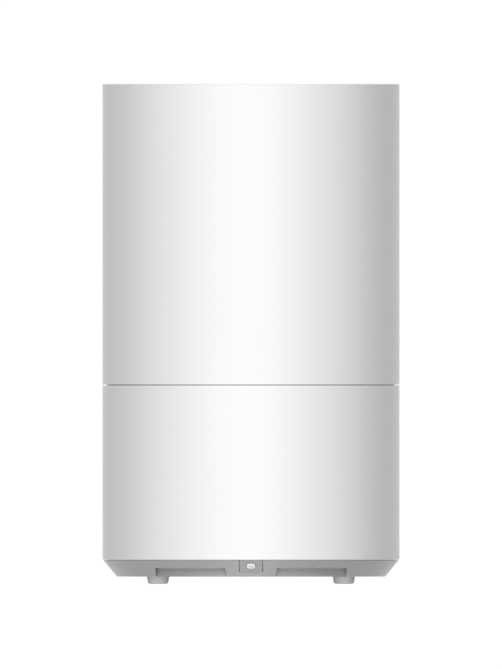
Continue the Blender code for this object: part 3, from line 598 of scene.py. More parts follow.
cap_outline = [(0, 12.2), (13.0, 12.2, 0.3), (13.0, 23.0, 1.2), (3.0, 23.0), (2.6, 22.6), (0, 22.6)]
fan_impeller = solid("fan_impeller", turned(cap_outline, 64, (0, fan_y)))
blade_count, blade_chord, blade_middle_z = 7, 11.0, 18.1
blades = []
for index in range(blade_count):
    sections = []
    for station in range(8):
        radius, pitch = 11.5 + station * 2.1, math.radians(42 - station * 2.0)
        section = []
        for face in (1, -1):
            for step in range(9)[::face]:
                share = step / 4 - 1
                along = share * blade_chord / 2
                out = 0.9 * (1 - share**2) - 0.4 + face * 0.55 * math.sqrt(1.02 - share**2)
                across = along * math.cos(pitch) - out * math.sin(pitch)
                rise = along * math.sin(pitch) + out * math.cos(pitch)
                section.append((radius, across, blade_middle_z + rise))
        sections.append(section)
    blades.append(placed(lofted(sections), to_fan @ Matrix.Rotation(math.tau * index / blade_count, 4, "Z")))
carve(fan_impeller, "UNION", joined(blades))
finish(fan_impeller, "fan", black_pbt, "black_plastic", "fan_rotor")


def plated(name, light, dark, roughness, streak_mm):
    """A metal with streaks from its making, of that length along X, Y and Z, and a shade that follows."""
    made, tree, shader = new_material(name, Metallic=1.0)
    spot = add_node(tree, "ShaderNodeTexCoord").outputs["Object"]
    stretch = {"Vector": spot, "Scale": [1 / (length * mm) for length in streak_mm]}
    drawn = add_node(tree, "ShaderNodeMapping", stretch).outputs["Vector"]
    streaks = add_node(tree, "ShaderNodeTexNoise", {"Vector": drawn, "Scale": 1.0, "Detail": 6.0})
    streaks = streaks.outputs["Fac"]
    shade = add_node(tree, "ShaderNodeMix", {0: streaks, 6: srgb(dark), 7: srgb(light)}, data_type="RGBA")
    tree.links.new(shade.outputs[2], shader.inputs["Base Color"])
    smooth, rough = roughness
    span = {"From Min": 0.2, "From Max": 0.8, "To Min": smooth, "To Max": rough}
    gloss = add_node(tree, "ShaderNodeMapRange", {"Value": streaks, **span})
    tree.links.new(gloss.outputs["Result"], shader.inputs["Roughness"])
    return made


# Bright zinc plate on steel: clear and a little blue, with a cloudiness under a millimetre across.
zinc_plated_steel = plated("zinc_plated_steel", "d2d4d4", "b0b2b3", (0.22, 0.40), (0.8, 0.8, 0.8))


def pan_screw(name, head_r, head_low, head_high, shank_r, tip_z, place):
    """A screw that points up before it is placed: a pan head with a cross recess, and a pointed shank."""
    outline = [
        (0, head_low),
        (head_r * 0.8, head_low, 0.3),
        (head_r, head_low + 0.45, 0.2),
        (head_r, head_high),
        (shank_r, head_high),
        (shank_r, tip_z - shank_r),
        (0, tip_z),
    ]
    made = solid(name, turned(outline, 32))
    depth, long, wide = 0.7 * (head_high - head_low), head_r * 0.5, head_r * 0.11
    arms = [block((-x, -y, head_low - 1), (x, y, head_low + depth)) for x, y in ((long, wide), (wide, long))]
    carve(made, "DIFFERENCE", *arms)
    move = place.copy()
    move.translation *= mm
    made.data.transform(move)
    return made


upside_down = Matrix.Rotation(math.pi, 4, "X")
head_low, head_high = -fan_high - 1.7, -fan_high - 0.3
for index, post in enumerate((fan_posts[0], fan_posts[3]), 1):
    place = Matrix.Translation((*post, 0)) @ upside_down
    fan_screw = pan_screw(f"fan_screw_{index}_steel", 3.2, head_low, head_high, 1.7, -9.0, place)
    finish(fan_screw, "base", zinc_plated_steel, "steel", f"fan_screw_{index}")


# ---- Driver board ----
# The board that drives the mist maker is glass fibre with a green mask. It carries an extruded aluminium heat
# sink, a sleeved capacitor, a wound coil, three black chips and the screw terminals that every lead ends in.

board_z, board_top = 20.3, 21.9
seat_z = board_top + 0.3
drive_circuit = solid("drive_circuit", extruded(rectangle((-80, -34), (-40, 34), 1.5), board_z, board_top))
carve(drive_circuit, "DIFFERENCE", joined([rod(1.6, 19, 23, post, 24) for post in board_posts]))
finish(drive_circuit, "base", green_glass_fibre, "circuit_board", "driver_board")

fin_count, fin_wide, fin_pitch, fin_low_y = 5, 2.0, 5.5, -27.0
root_z, fin_top = seat_z + 3, 44.0
comb = [(fin_low_y, seat_z), (fin_low_y + (fin_count - 1) * fin_pitch + fin_wide, seat_z)]
for fin in reversed(range(fin_count)):
    near, far = fin_low_y + fin * fin_pitch + fin_wide, fin_low_y + fin * fin_pitch
    comb += [(near, root_z, 0.5), (near - 0.2, fin_top, 0.6), (far + 0.2, fin_top, 0.6), (far, root_z, 0.5)]
del comb[2], comb[-1]
comb[2], comb[-1] = (comb[2][0] + 0.2, fin_top, 0.6), (comb[-1][0] - 0.2, fin_top, 0.6)
# Extrusion leaves fine die lines along the fins.
extruded_aluminium = plated("extruded_aluminium", "d9dadb", "b9babc", (0.30, 0.42), (20, 0.5, 0.5))
fin_block = solid("fin_block", extruded(comb, -74, -54, "YZX"))
finish(fin_block, "base", extruded_aluminium, "aluminium", "heat_sink", edge=0.15)

capacitor_r, capacitor_top, capacitor_place = 6.5, 42.0, (-62, 20)
sleeve_outline = [
    (0, seat_z),
    (6.1, seat_z, 0.4),
    (capacitor_r, seat_z + 0.9, 0.3),
    (capacitor_r, seat_z + 2.2, 0.3),
    (6.1, seat_z + 2.8, 0.3),
    (capacitor_r, seat_z + 3.4, 0.3),
    (capacitor_r, capacitor_top, 0.7),
    (5.2, capacitor_top, 0.2),
    (5.2, capacitor_top - 0.5),
    (0, capacitor_top - 0.5),
]
capacitor = solid("capacitor_sleeve", turned(sleeve_outline, 64, capacitor_place))
finish(capacitor, "base", black_pbt, "black_plastic", "capacitor")
can_low, can_high = capacitor_top - 0.45, capacitor_top - 0.15
can_lid_outline = [(0, can_low), (5.1, can_low), (5.1, can_high, 0.1), (0, can_high)]
can_lid = solid("capacitor_lid", turned(can_lid_outline, 64))
cross = [Matrix.Rotation(turn, 4, "Z") for turn in (0.8, 2.37)]
score = [block((-4, -0.15, can_high - 0.15), (4, 0.15, can_high + 1), turn) for turn in cross]
carve(can_lid, "DIFFERENCE", *score)
can_lid.data.transform(Matrix.Translation((capacitor_place[0] * mm, capacitor_place[1] * mm, 0)))
finish(can_lid, "base", extruded_aluminium, "aluminium")

terminal_x, terminal_y, terminal_top, way_pitch, ways = -46.0, -2.0, 31.2, 6.0, 5
terminal_side = [
    (terminal_x - 4, seat_z),
    (terminal_x + 4, seat_z),
    (terminal_x + 4, seat_z + 4, 0.3),
    (terminal_x + 3, seat_z + 4.6, 0.2),
    (terminal_x + 3, terminal_top, 0.6),
    (terminal_x - 4, terminal_top, 0.6),
]
terminals = solid("screw_terminals", extruded(terminal_side, terminal_y - 15, terminal_y + 15, "XZY"))
way_places = [terminal_y + (way - (ways - 1) / 2) * way_pitch for way in range(ways)]
carve(terminals, "DIFFERENCE", joined([rod(1.9, 28.6, 33, (terminal_x - 2, y)) for y in way_places]))
finish(terminals, "base", black_pbt, "black_plastic", "terminal_block", edge=0.15)
for way, y in enumerate(way_places, 1):
    head = [(0, 28.7), (1.7, 28.7), (1.7, 29.9, 0.2), (0, 29.9)]
    clamp_screw = solid(f"terminal_screw_{way}", turned(head, 32, (terminal_x - 2, y)))
    carve(clamp_screw, "DIFFERENCE", block((terminal_x - 4, y - 0.25, 29.4), (terminal_x, y + 0.25, 31)))
    finish(clamp_screw, "base", zinc_plated_steel, "steel")

# Enamelled copper wire, wound side by side, gives the coil a ribbed orange gloss.
enamelled_copper = plated("enamelled_copper", "c77a45", "a65f33", (0.22, 0.32), (1.2, 1.2, 1.2))
coil_place = Matrix.Translation((-49, 25, seat_z + 3.2))
wire_loop = [(2.1, -0.35, 0.3), (2.8, -0.35, 0.3), (2.8, 0.35, 0.3), (2.1, 0.35, 0.3)]
core_outline = [(2.2, -1.7, 1.0), (5.6, -1.7, 1.0), (5.6, 1.7, 1.0), (2.2, 1.7, 1.0)]
coil_parts = [placed(turned(core_outline, 48), coil_place)]
winding_count = 14
for winding in range(winding_count):
    around = Matrix.Rotation(math.tau * winding / winding_count, 4, "Z") @ Matrix.Translation((3.9, 0, 0))
    loop = turned(wire_loop, 32, arc_steps=3)
    coil_parts.append(placed(loop, coil_place @ around @ Matrix.Rotation(math.pi / 2, 4, "X")))
finish(solid("wound_coil", joined(coil_parts)), "base", enamelled_copper, "brass")
chip_corners = (((-70, 2), (-60, 9)), ((-58, 30), (-52, 33.5)), ((-79, -12), (-76, -6)))
chips = [extruded(rectangle(*ends, 0.2), board_top + 0.1, board_top + 1.7) for ends in chip_corners]
finish(solid("board_chips", joined(chips)), "base", black_pbt, "black_plastic", edge=0.2)


# ---- Power inlet ----
# A moulded barrel inlet stands on a shelf at the back, its snout in the wall's hole. Its pin is turned brass.

jack_z = 30.0
to_rear = Matrix.Translation((0, 0, jack_z)) @ Matrix.Rotation(-math.pi / 2, 4, "X")
inlet_body = extruded(rectangle((-5.5, -5.1), (5.5, 5.1), 0.6), 78, 90)
power_inlet = solid("power_inlet", placed(inlet_body, to_rear))
carve(power_inlet, "UNION", placed(turned([(0, 89), (5.2, 89), (5.2, 93.6, 0.5), (0, 93.6)], 64), to_rear))
inlet_bore = [(0, 82), (3.2, 82), (3.2, 93.0), (3.7, 93.7), (3.7, 95), (0, 95)]
carve(power_inlet, "DIFFERENCE", placed(turned(inlet_bore, 64), to_rear))
finish(power_inlet, "base", black_pbt, "black_plastic", "dc_jack", edge=0.15)
# Turned brass keeps fine rings from the lathe.
turned_brass = plated("turned_brass", "d6b672", "b8964f", (0.18, 0.30), (0.6, 0.2, 0.6))
pin_outline = [(0, 82.3), (1.0, 82.3), (1.0, 92.0, 0.6), (0, 92.0)]
inlet_pin = solid("inlet_pin", placed(turned(pin_outline, 32), to_rear))
finish(inlet_pin, "base", turned_brass, "brass", "dc_jack_pin")


# ---- Leads ----
# Each lead is a pair of stranded wires in one PVC sleeve, dressed in an easy curve to its screw terminal.


def eased(route, steps=12):
    """A smooth line of points through the points of a route."""
    points = [Vector(point) for point in route]
    ends = [2 * points[0] - points[1], *points, 2 * points[-1] - points[-2]]
    line = []
    for a, b, c, d in zip(ends, ends[1:], ends[2:], ends[3:]):
        for t in [step / steps for step in range(steps)]:
            curve = 2 * b + (c - a) * t + (2 * a - 5 * b + 4 * c - d) * t**2 + (3 * b - a - 3 * c + d) * t**3
            line.append(0.5 * curve)
    return [*line, points[-1]]


def tube(name, line, radius, smoothness=3):
    """A solid round rod along a line of points, in millimetres."""
    curve = bpy.data.curves.new(name, "CURVE")
    curve.dimensions = "3D"
    curve.bevel_depth = radius * mm
    curve.bevel_resolution = smoothness
    curve.use_fill_caps = True
    spline = curve.splines.new("POLY")
    spline.points.add(len(line) - 1)
    for point, place in zip(spline.points, line):
        point.co = (*(Vector(place) * mm), 1)
    draft = bpy.data.objects.new("draft", curve)
    bpy.context.scene.collection.objects.link(draft)
    shape = bmesh.new()
    shape.from_mesh(bpy.data.meshes.new_from_object(draft))
    bmesh.ops.remove_doubles(shape, verts=shape.verts, dist=0.001 * mm)
    bpy.data.objects.remove(draft)
    return solid(name, placed(shape, Matrix.Scale(1 / mm, 4)))


# Soft PVC sleeving has a slight wax to its shine and a faint ripple from the wires inside.
black_pvc = plastic("soft_black_pvc", "262627", "1c1c1d", (0.45, 0.55), 15, 1.2, 0.02)
white_pvc = plastic("soft_white_pvc", "e6e6e2", "dcdcd7", (0.42, 0.52), 15, 1.2, 0.02)
red_pvc = plastic("soft_red_pvc", "a5201c", "931a17", (0.42, 0.52), 15, 1.2, 0.02)
way_z = terminal_top + 0.6
lead_back = on_slope @ Vector((0, 5, -15.6))
lead_sleeves = {
    "jack_lead": (10, black_pvc, "black_plastic"),
    "fan_lead": (4, black_pvc, "black_plastic"),
    "transducer_lead": (-2, red_pvc, "red_sleeve"),
    "sensor_lead": (-8, white_pvc, "white_pp"),
    "switch_lead": (-14, white_pvc, "white_pp"),
}
behind_switch = (-3, lead_back.y + 5, lead_back.z + 4)
lead_routes = [
    [(0, 77.2, 30), (-1, 71, 32), (-14, 62, 42), (-32, 48, 45), (-45, 26, 42)],
    [(-31.4, 17, 17), (-34, 15, 22), (-40, 8, 34)],
    [(0, -10, 93.2), (0, -10, 84), (-5, -12, 72), (-22, -12, 56), (-38, -8, 44)],
    [(44, -16, 93), (44, -17, 84), (36, -24, 68), (12, -32, 54), (-20, -26, 46), (-40, -16, 41)],
    [tuple(lead_back), behind_switch, (-14, -66, 36), (-32, -44, 42), (-44, -22, 39)],
]
for (name, (across, sleeve, slot)), route in zip(lead_sleeves.items(), lead_routes):
    landing = [(terminal_x, terminal_y + across, way_z + rise) for rise in (3.4, 0)]
    finish(tube(name + "_sleeve", eased([*route, *landing]), 1.1), "base", sleeve, slot, name)


# ---- Air duct ----
# A hopper of milky polypropylene leads the fan's air from a round mouth up to the narrow riser.

# Polypropylene is softer in gloss than ABS, with a waxy drift in its shade.
milky_look = ("e9ebea", "e2e5e4", (0.34, 0.42), 30, 2.5, 0.01)
milky_polypropylene = plastic("milky_polypropylene", *milky_look, ior=1.49)
funnel_taper = [(1 - step / 12, 34.0 + 44.0 * step / 12) for step in range(13)]
funnel_levels = [(1, 25.3), *funnel_taper, (0, 95.3)]
funnel_loops = []
for wall in (0, 1.6):
    loops = []
    for roundness, height in funnel_levels:
        loop = []
        for step in range(96):
            angle = math.tau * (step + 0.5) / 96
            across, along = math.cos(angle), math.sin(angle)
            to_edge = 1 / max(abs(across) / (12.7 - wall), abs(along) / (6.7 - wall))
            reach = roundness * (28.8 - wall) + (1 - roundness) * to_edge
            loop.append((reach * across, fan_y + reach * along, height))
        loops.append(loop)
    funnel_loops += loops if wall == 0 else loops[::-1]
air_funnel = solid("air_funnel", lofted(funnel_loops, closed=True))
finish(air_funnel, "base", milky_polypropylene, "white_pp", "air_duct")


# ---- Base shell ----
# The white lower wall is glossy ABS. Inside it has a ledge for the wet deck, a shelf for the power inlet,
# and four ribbed bosses that take the cover's screws.

shell_foot_z, shell_top_z, ledge_z = 15.45, 127.05, 117.7
shell_outline = [
    (body_r, shell_foot_z, 0.4),
    (body_r, shell_top_z, 0.15),
    (bore_r, shell_top_z, 0.3),
    (bore_r, ledge_z),
    (bore_r - 2.6, ledge_z, 0.3),
    (bore_r - 2.6, ledge_z - 2.0),
    (bore_r, ledge_z - 4.6),
    (bore_r, shell_foot_z, 0.3),
]
base_shell = solid("base_wall", turned(shell_outline))
boss_parts = []
for x, y in screw_places.values():
    boss_parts.append(rod(4.2, 7.5, 44, (x, y)))
    toward = Matrix.Rotation(math.atan2(y, x), 4, "Z")
    boss_parts.append(block((math.hypot(x, y), -1.2, 22), (bore_r + 0.8, 1.2, 43.5), toward))
boss_parts.append(block((-8, 77, jack_z - 7.6), (8, bore_r + 1, jack_z - 5.4)))
carve(base_shell, "UNION", *boss_parts)
pilot_holes = joined([rod(1.8, 6, 19.5, place, 20) for place in screw_places.values()])
carve(base_shell, "DIFFERENCE", pilot_holes, placed(rod(5.6, 90, 98, steps=64), to_rear))
finish(base_shell, "base", glossy_white_abs, "white_abs", "base_shell", edge=0.15)


# ---- Cover screws ----
# Zinc-plated steel screws with pan heads and cross recesses. They are driven up through the bottom cover into
# the shell's bosses.

for name, place in screw_places.items():
    screw = pan_screw(name + "_steel", 3.4, 4.8, 5.9, 1.5, 18.0, Matrix.Translation((*place, 0)))
    finish(screw, "base", zinc_plated_steel, "steel", name)


# ---- Wet deck ----
# One moulding in milky polypropylene: a rim on the shell's ledge with a lip behind the seam, a collar that
# centres the tank, a sunken pool, the air's riser, the float's post and the post that opens the tank's valve.

pool_r, pool_z, pool_under_z, deck_r, deck_z = 62.0, 98.0, 95.6, 84.0, 119.5
collar_r, collar_z, rim_r, rim_z, seam_lip_z = 86.4, 133.0, 91.9, 126.4, 128.6
riser_y, disc_place, float_place, valve_place = 17.0, (0.0, -10.0), (44.0, -16.0), (-47.0, 0.0)
deck_outline = [
    (0, pool_under_z),
    (pool_r + 2.4, pool_under_z, 1.2),
    (pool_r + 2.4, deck_z - 3.9),
    (collar_r, deck_z - 2.4),
    (collar_r, rim_z - 2.4),
    (rim_r - 2.0, rim_z - 2.4),
    (rim_r - 2.0, ledge_z + 0.3),
    (rim_r, ledge_z + 0.3, 0.2),
    (rim_r, seam_lip_z, 0.4),
    (rim_r - 1.5, seam_lip_z, 0.4),
    (rim_r - 1.5, rim_z, 0.4),
    (collar_r, rim_z, 0.5),
    (collar_r, collar_z, 0.8),
    (deck_r, collar_z, 0.8),
    (deck_r, deck_z, 1.0),
    (pool_r, deck_z - 1.5, 1.2),
    (pool_r, pool_z, 2.0),
    (0, pool_z),
]
wet_deck = solid("wet_deck", turned(deck_outline))
disc_screws = []
for turn in (30, 150, 270):
    across, along = math.cos(math.radians(turn)), math.sin(math.radians(turn))
    disc_screws.append((disc_place[0] + 17 * across, disc_place[1] + 17 * along))
riser = extruded(rectangle((-13, riser_y - 7), (13, riser_y + 7), 2.0), pool_z - 1.2, 122)
float_post = turned([(0, pool_z - 1.2), (2.5, pool_z - 1.2), (2.5, 121, 0.8), (0, 121)], 48, float_place)
valve_post = turned([(0, pool_z - 1.2), (3.2, pool_z - 1.2), (3.2, 116.5, 1.0), (0, 116.5)], 48, valve_place)
disc_bosses = joined([rod(3.2, 92.7, 97, place) for place in disc_screws])
carve(wet_deck, "UNION", riser, joined([float_post, valve_post]), disc_bosses)
riser_way = extruded(rectangle((-11, riser_y - 5), (11, riser_y + 5), 1.2), 90, 125)
disc_pilots = joined([rod(1.5, 90, 96.4, place, 24) for place in disc_screws])
carve(wet_deck, "DIFFERENCE", riser_way, rod(9, 90, 100, disc_place, 64), disc_pilots)
finish(wet_deck, "base", milky_polypropylene, "white_pp", "basin", edge=0.3)


# ---- Mist maker ----
# A piezo-ceramic disc with a bright nickel electrode sits in a moulded silicone ring. A stainless plate and
# three screws clamp it up against the pool's floor.

# Electroless nickel on ceramic is warm, smooth and a little cloudy.
nickelled_ceramic = plated("nickelled_ceramic", "cfc9bd", "b5afa3", (0.16, 0.28), (3, 3, 3))
# Silicone is soft to the eye: pale, almost waxy, with broad highlights.
pale_silicone = plastic("pale_silicone", "d9dcdb", "cfd3d2", (0.42, 0.52), 12, 0.8, 0.01, ior=1.41)
# Cold-rolled stainless steel keeps the rolling lines that run across the strip.
rolled_stainless = plated("rolled_stainless_steel", "cdccc8", "a9a8a4", (0.24, 0.40), (12, 0.3, 0.3))

disc_outline = [(0, 93.6), (10, 93.6, 0.1), (10, 94.8, 0.1), (8.2, 94.8), (8.0, 94.7), (0, 94.7)]
piezo_disc = solid("piezo_disc", turned(disc_outline, 96, disc_place))
finish(piezo_disc, "base", nickelled_ceramic, "steel", "transducer_disc")
ring_outline = [(10.3, 92.7, 0.4), (13.2, 92.7, 0.6), (13.2, 95.3, 0.6), (10.3, 95.3, 0.4)]
disc_ring = solid("disc_ring", turned(ring_outline, 96, disc_place))
finish(disc_ring, "base", pale_silicone, "silicone", "transducer_gasket")
clamp_outline = [(8.0, 90.6), (20.0, 90.6), (20.0, 92.4), (8.0, 92.4)]
clamp_plate = solid("clamp_plate", turned(clamp_outline, 96, disc_place))
carve(clamp_plate, "DIFFERENCE", joined([rod(1.5, 88, 95, place, 24) for place in disc_screws]))
finish(clamp_plate, "base", rolled_stainless, "steel", "transducer_plate", edge=0.2)
for index, place in enumerate(disc_screws, 1):
    disc_screw = pan_screw(f"disc_screw_{index}", 2.8, 88.8, 90.3, 1.2, 95.8, Matrix.Translation((*place, 0)))
    finish(disc_screw, "base", zinc_plated_steel, "steel", f"transducer_screw_{index}")


# ---- Splash hood ----
# A thin cap, moulded in milky polypropylene, pushes over the riser. Its window faces the mist maker, so that
# splashes stay out of the duct.

splash_hood = extruded(rectangle((-14.9, riser_y - 8.9), (14.9, riser_y + 8.9), 2.6), 112, 129.5)
splash_hood = solid("splash_hood", splash_hood)
hood_inside = extruded(rectangle((-13.3, riser_y - 7.3), (13.3, riser_y + 7.3), 1.2), 110, 128)
hood_window = extruded(rectangle((-11, 122.6), (11, 127.2), 1.0), riser_y - 12, riser_y - 5, "XZY")
carve(splash_hood, "DIFFERENCE", hood_inside, hood_window)
finish(splash_hood, "base", milky_polypropylene, "white_pp", "air_hood", edge=0.4)


# ---- Level float ----
# A ring of moulded bead foam, with a magnet inside, rides up its post to a pressed-on stop. Below the pool's
# floor a small board holds the glass capsule that senses the magnet.

# The beads of the foam are 2.5 mm across, pressed flat against the mould and pitted where they meet; painted
# shade darkens the pits.
bead_foam, tree, shader = new_material("expanded_polypropylene", Roughness=0.7)
spot = add_node(tree, "ShaderNodeTexCoord").outputs["Object"]
cells = {"Vector": spot, "Scale": 1 / (2.5 * mm)}
beads = add_node(tree, "ShaderNodeTexVoronoi", cells, feature="DISTANCE_TO_EDGE").outputs["Distance"]
bead_edge = add_node(tree, "ShaderNodeMapRange", {"Value": beads, "From Max": 0.12}).outputs["Result"]
bead_tones_with_painted_pit_shade = {0: bead_edge, 6: srgb("bfc4c6"), 7: srgb("e8ebeb")}
bead_colour_and_painted_pit_shade = add_node(tree, "ShaderNodeMix", bead_tones_with_painted_pit_shade, data_type="RGBA")
tree.links.new(bead_colour_and_painted_pit_shade.outputs[2], shader.inputs["Base Color"])
bead_skin = add_node(tree, "ShaderNodeBump", {"Height": bead_edge, "Distance": 0.12 * mm})
tree.links.new(bead_skin.outputs["Normal"], shader.inputs["Normal"])

float_low, float_high = 98.3, 108.3
float_outline = [(2.9, float_low, 0.4), (10.5, float_low, 0.9)]
float_outline += [(10.5, float_high, 0.9), (2.9, float_high, 0.4)]
float_block = solid("float_block", turned(float_outline, 96, float_place))
finish(float_block, "float", bead_foam, "white_pp", "float_ring")
stop_outline = [(2.8, 118.6, 0.1), (4.8, 118.6, 0.2), (4.8, 119.6, 0.3), (4.2, 120.4, 0.3), (2.8, 120.4, 0.1)]
float_stop = solid("float_stop", turned(stop_outline, 64, float_place))
finish(float_stop, "base", milky_polypropylene, "white_pp", "float_cap")
sensor_corner = (float_place[0] - 8, float_place[1] - 5), (float_place[0] + 8, float_place[1] + 5)
sensor_board = solid("level_sensor", extruded(rectangle(*sensor_corner, 0.8), 94.2, 95.3))
finish(sensor_board, "base", green_glass_fibre, "circuit_board", "float_sensor")
# Drawn glass over two nickel reeds: a hard, clear gloss with a dull metal core.
capsule_glass = plastic("reed_capsule_glass", "7f8a86", "6c7672", (0.05, 0.09), 4, 2.0, 0.002, ior=1.52)
capsule_middle = Matrix.Translation((float_place[0], float_place[1] + 1, 93.5))
along_x = capsule_middle @ Matrix.Rotation(math.pi / 2, 4, "Y")
capsule = placed(turned([(0, -6), (0.7, -6, 0.5), (0.7, 6, 0.5), (0, 6)], 32), along_x)
finish(solid("reed_capsule", capsule), "base", capsule_glass, "circuit_board")


# ---- Tank wall ----
# The tall white wall is the same glossy ABS as the base. It has a rolled rim, a ledge for the lid and a rib
# that the floor is welded up against, and it stops 0.5 mm short of the base, which leaves the seam round
# the body.

tank_foot_z, tank_under_z, tank_floor_z = 127.55, 133.6, 136.2
lid_ledge_z, tank_top_z = 306.0, 320.0
tank_outline = [
    (body_r, tank_foot_z, 0.2),
    (body_r, tank_top_z, 1.0),
    (bore_r, tank_top_z, 0.8),
    (bore_r, lid_ledge_z),
    (bore_r - 2.5, lid_ledge_z, 0.3),
    (bore_r - 2.5, lid_ledge_z - 1.4),
    (bore_r, lid_ledge_z - 4.4),
    (bore_r, tank_floor_z + 3.9),
    (bore_r - 1.8, tank_floor_z + 2.1, 0.3),
    (bore_r - 1.8, tank_floor_z + 0.3),
    (bore_r, tank_floor_z + 0.3),
    (bore_r, tank_foot_z, 0.3),
]
finish(solid("tank_wall", turned(tank_outline)), "tank", glossy_white_abs, "white_abs", "tank_shell")


# ---- Tank floor and upright duct ----
# The floor is a polypropylene moulding with a socket in its middle. The mist's duct, an extruded tube,
# stands in the socket and is sealed round its foot by a silicone ring.

duct_r, duct_bore_r, duct_top_z = 17.0, 15.4, 304.5
socket_r, socket_top = duct_r + 0.4, tank_floor_z + 11.8
floor_outline = [
    (bore_r - 0.3, tank_under_z, 0.3),
    (bore_r - 0.3, tank_floor_z, 0.3),
    (socket_r + 2.1, tank_floor_z, 1.0),
    (socket_r + 2.1, socket_top, 0.5),
    (socket_r, socket_top, 0.3),
    (socket_r, tank_floor_z),
    (duct_bore_r, tank_floor_z),
    (duct_bore_r, tank_under_z, 0.3),
]
tank_bottom = solid("tank_bottom", turned(floor_outline))
carve(tank_bottom, "DIFFERENCE", rod(9.3, 130, 140, valve_place, 96))
finish(tank_bottom, "tank", milky_polypropylene, "white_pp", "tank_floor", edge=0.25)
duct_foot_z = tank_floor_z + 0.3
duct_outline = [
    (duct_bore_r, duct_foot_z),
    (duct_r, duct_foot_z),
    (duct_r, duct_top_z, 0.6),
    (duct_bore_r, duct_top_z, 0.6),
]
finish(solid("upright_duct", turned(duct_outline, 128)), "tank", milky_polypropylene, "white_pp", "mist_duct")
seal_outline = [(17.3, 148.3), (19.5, 148.3, 0.3), (19.5, 149.9, 0.5), (18.9, 150.5, 0.4), (17.3, 150.5)]
finish(solid("duct_ring", turned(seal_outline, 128)), "tank", pale_silicone, "silicone", "duct_seal")


# ---- Mist chamber ----
# A short moulded skirt hangs under the tank and keeps the mist over the disc. Notches in its foot let the
# air in.

chamber_foot_z, chamber_top_z = 107.0, tank_under_z - 0.3
chamber_outline = [
    (31, chamber_foot_z),
    (33, chamber_foot_z),
    (33, chamber_top_z - 2),
    (34, chamber_top_z - 2),
    (34, chamber_top_z),
    (31, chamber_top_z),
]
mist_skirt = solid("mist_skirt", turned(chamber_outline, 144))
notches = []
for turn in (45, 135, 225, 315):
    notch = extruded(rectangle((-5, chamber_foot_z - 6), (5, chamber_foot_z + 5), 1.5), 28, 36, "XZY")
    notches.append(placed(notch, Matrix.Rotation(math.radians(turn), 4, "Z")))
carve(mist_skirt, "DIFFERENCE", joined(notches))
finish(mist_skirt, "tank", milky_polypropylene, "white_pp", "mist_chamber", edge=0.35)


# ---- Tank valve ----
# A caged plunger in the tank's floor: a hexagon nut clamps the cage, a silicone washer closes it, and a
# stainless spring pushes the plunger down when the tank is lifted off the post that holds it open.

seat_top = tank_floor_z + 0.3
cage_outline = [
    (2.3, 118, 0.2),
    (9, 118, 0.8),
    (9, seat_top),
    (12, seat_top, 0.3),
    (12, seat_top + 2, 0.6),
    (5, seat_top + 2, 0.3),
    (5, seat_top),
    (7.2, seat_top),
    (7.2, 120),
    (2.3, 120, 0.2),
]
valve_cage = solid("valve_cage", turned(cage_outline, 96))
cage_windows = [extruded(rectangle((-2.5, 121), (2.5, 127), 0.8), -12, 12, axes) for axes in ("XZY", "YZX")]
carve(valve_cage, "DIFFERENCE", *cage_windows)
valve_cage.data.transform(Matrix.Translation((valve_place[0] * mm, 0, 0)))
finish(valve_cage, "tank", milky_polypropylene, "white_pp", "valve_body", edge=0.2)
valve_hex = solid("valve_hex", rod(12.5, 129.6, 133.3, valve_place, 6))
carve(valve_hex, "DIFFERENCE", rod(9.3, 128, 136, valve_place, 64))
finish(valve_hex, "tank", milky_polypropylene, "white_pp", "valve_nut", edge=0.5)

stem_outline = [
    (0, 116.8),
    (1.8, 116.8, 0.5),
    (1.8, 145.7),
    (7, 145.7, 0.2),
    (7, 147.2, 0.5),
    (0, 147.2),
]
valve_stem = solid("valve_stem", turned(stem_outline, 64, valve_place))
carve(valve_stem, "UNION", rod(6.7, 127.0, 128.2, valve_place, 4))
finish(valve_stem, "valve", milky_polypropylene, "white_pp", "valve_plunger", edge=0.2)
washer_outline = [(2.1, 143.8, 0.2), (7.4, 143.8, 0.5), (7.4, 145.4, 0.3), (2.1, 145.4, 0.2)]
valve_washer = solid("valve_washer", turned(washer_outline, 64, valve_place))
finish(valve_washer, "valve", pale_silicone, "silicone", "valve_seal")

coil_r, coil_low, coil_high, coil_turn_count, coil_steps = 6.1, 129.0, 135.7, 4.5, 108
coil_line = []
for share in [step / coil_steps for step in range(coil_steps + 1)]:
    angle = math.tau * coil_turn_count * share
    height = coil_low + (coil_high - coil_low) * share
    coil_line.append((valve_place[0] + coil_r * math.cos(angle), coil_r * math.sin(angle), height))
valve_coil = tube("valve_coil", coil_line, 0.4, 2)
finish(valve_coil, None, rolled_stainless, "steel", "valve_spring")


# ---- Lid ----
# A dished lid in the wall's glossy ABS drops inside the rim. It has a cup for the nozzle, slots that drain
# the drops back, and two notches to lift it by. A silicone ring beneath its skirt keeps it from rattling.

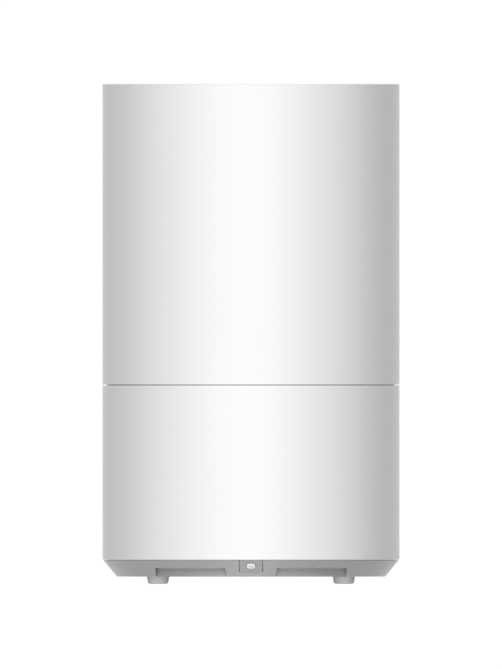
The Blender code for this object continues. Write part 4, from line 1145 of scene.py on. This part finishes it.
lid_outline = [
    (91.9, 307.8, 0.3),
    (91.9, 318.6, 0.7),
    (89.2, 318.6, 0.6),
    (88.2, 317.6, 0.6),
    (34.0, 311.4, 3.0),
    (22.9, 311.0, 0.6),
    (22.9, 303.5, 0.6),
    (17.6, 303.5, 0.2),
    (17.6, 301.3, 0.2),
    (25.1, 301.3, 0.8),
    (25.1, 308.8, 0.5),
    (34.0, 309.2, 3.0),
    (88.0, 315.3, 0.5),
    (89.6, 315.8, 0.2),
    (89.6, 307.8, 0.2),
]
lid_dish = solid("lid_dish", turned(lid_outline))
drains = []
for index in range(8):
    drain = extruded(rectangle((28.6, -5.5), (31.2, 5.5), 1.28), 300, 316)
    drains.append(placed(drain, Matrix.Rotation(math.tau * (index + 0.5) / 8, 4, "Z")))
finger_notches = joined([rod(9, 303, 322, (x, 0), 64) for x in (-90, 90)])
carve(lid_dish, "DIFFERENCE", joined(drains), finger_notches)
finish(lid_dish, "lid", glossy_white_abs, "white_abs", "lid", edge=0.25)
lid_ring_outline = [(90.2, 306.3, 0.4), (91.6, 306.3, 0.4), (91.6, 307.5, 0.4), (90.2, 307.5, 0.4)]
finish(solid("lid_ring", turned(lid_ring_outline)), "lid", pale_silicone, "silicone", "lid_seal")


# ---- Nozzle ----
# The mist outlet is a shallow dome of white ABS that turns in the lid's cup. A slot on one side throws the
# mist, and a fin on the other is there to turn it by.

nozzle_outline = [
    (0, 315.9),
    (10.0, 315.9),
    (17.0, 315.2),
    (20.4, 313.0, 1.5),
    (20.4, 303.8, 0.3),
    (22.4, 303.8, 0.5),
    (22.4, 313.0, 2.5),
    (21.4, 315.4, 1.2),
    (18.0, 317.0, 2.5),
    (10.0, 317.9, 6.0),
    (0, 317.9),
]
nozzle_dome = solid("nozzle_dome", turned(nozzle_outline, 144))
fin_side = [(5, 316.4), (17, 316.4), (17, 318.2, 0.7), (15.2, 319.4, 1.2), (6.0, 319.4, 1.2)]
carve(nozzle_dome, "UNION", extruded(fin_side, -1.3, 1.3, "YZX"))
carve(nozzle_dome, "DIFFERENCE", extruded(rectangle((-11, -15), (11, -5.5), 3.5), 308, 321))
finish(nozzle_dome, "nozzle", glossy_white_abs, "white_abs", "mist_nozzle", edge=0.35)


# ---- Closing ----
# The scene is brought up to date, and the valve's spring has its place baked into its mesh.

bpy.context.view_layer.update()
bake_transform(valve_coil)
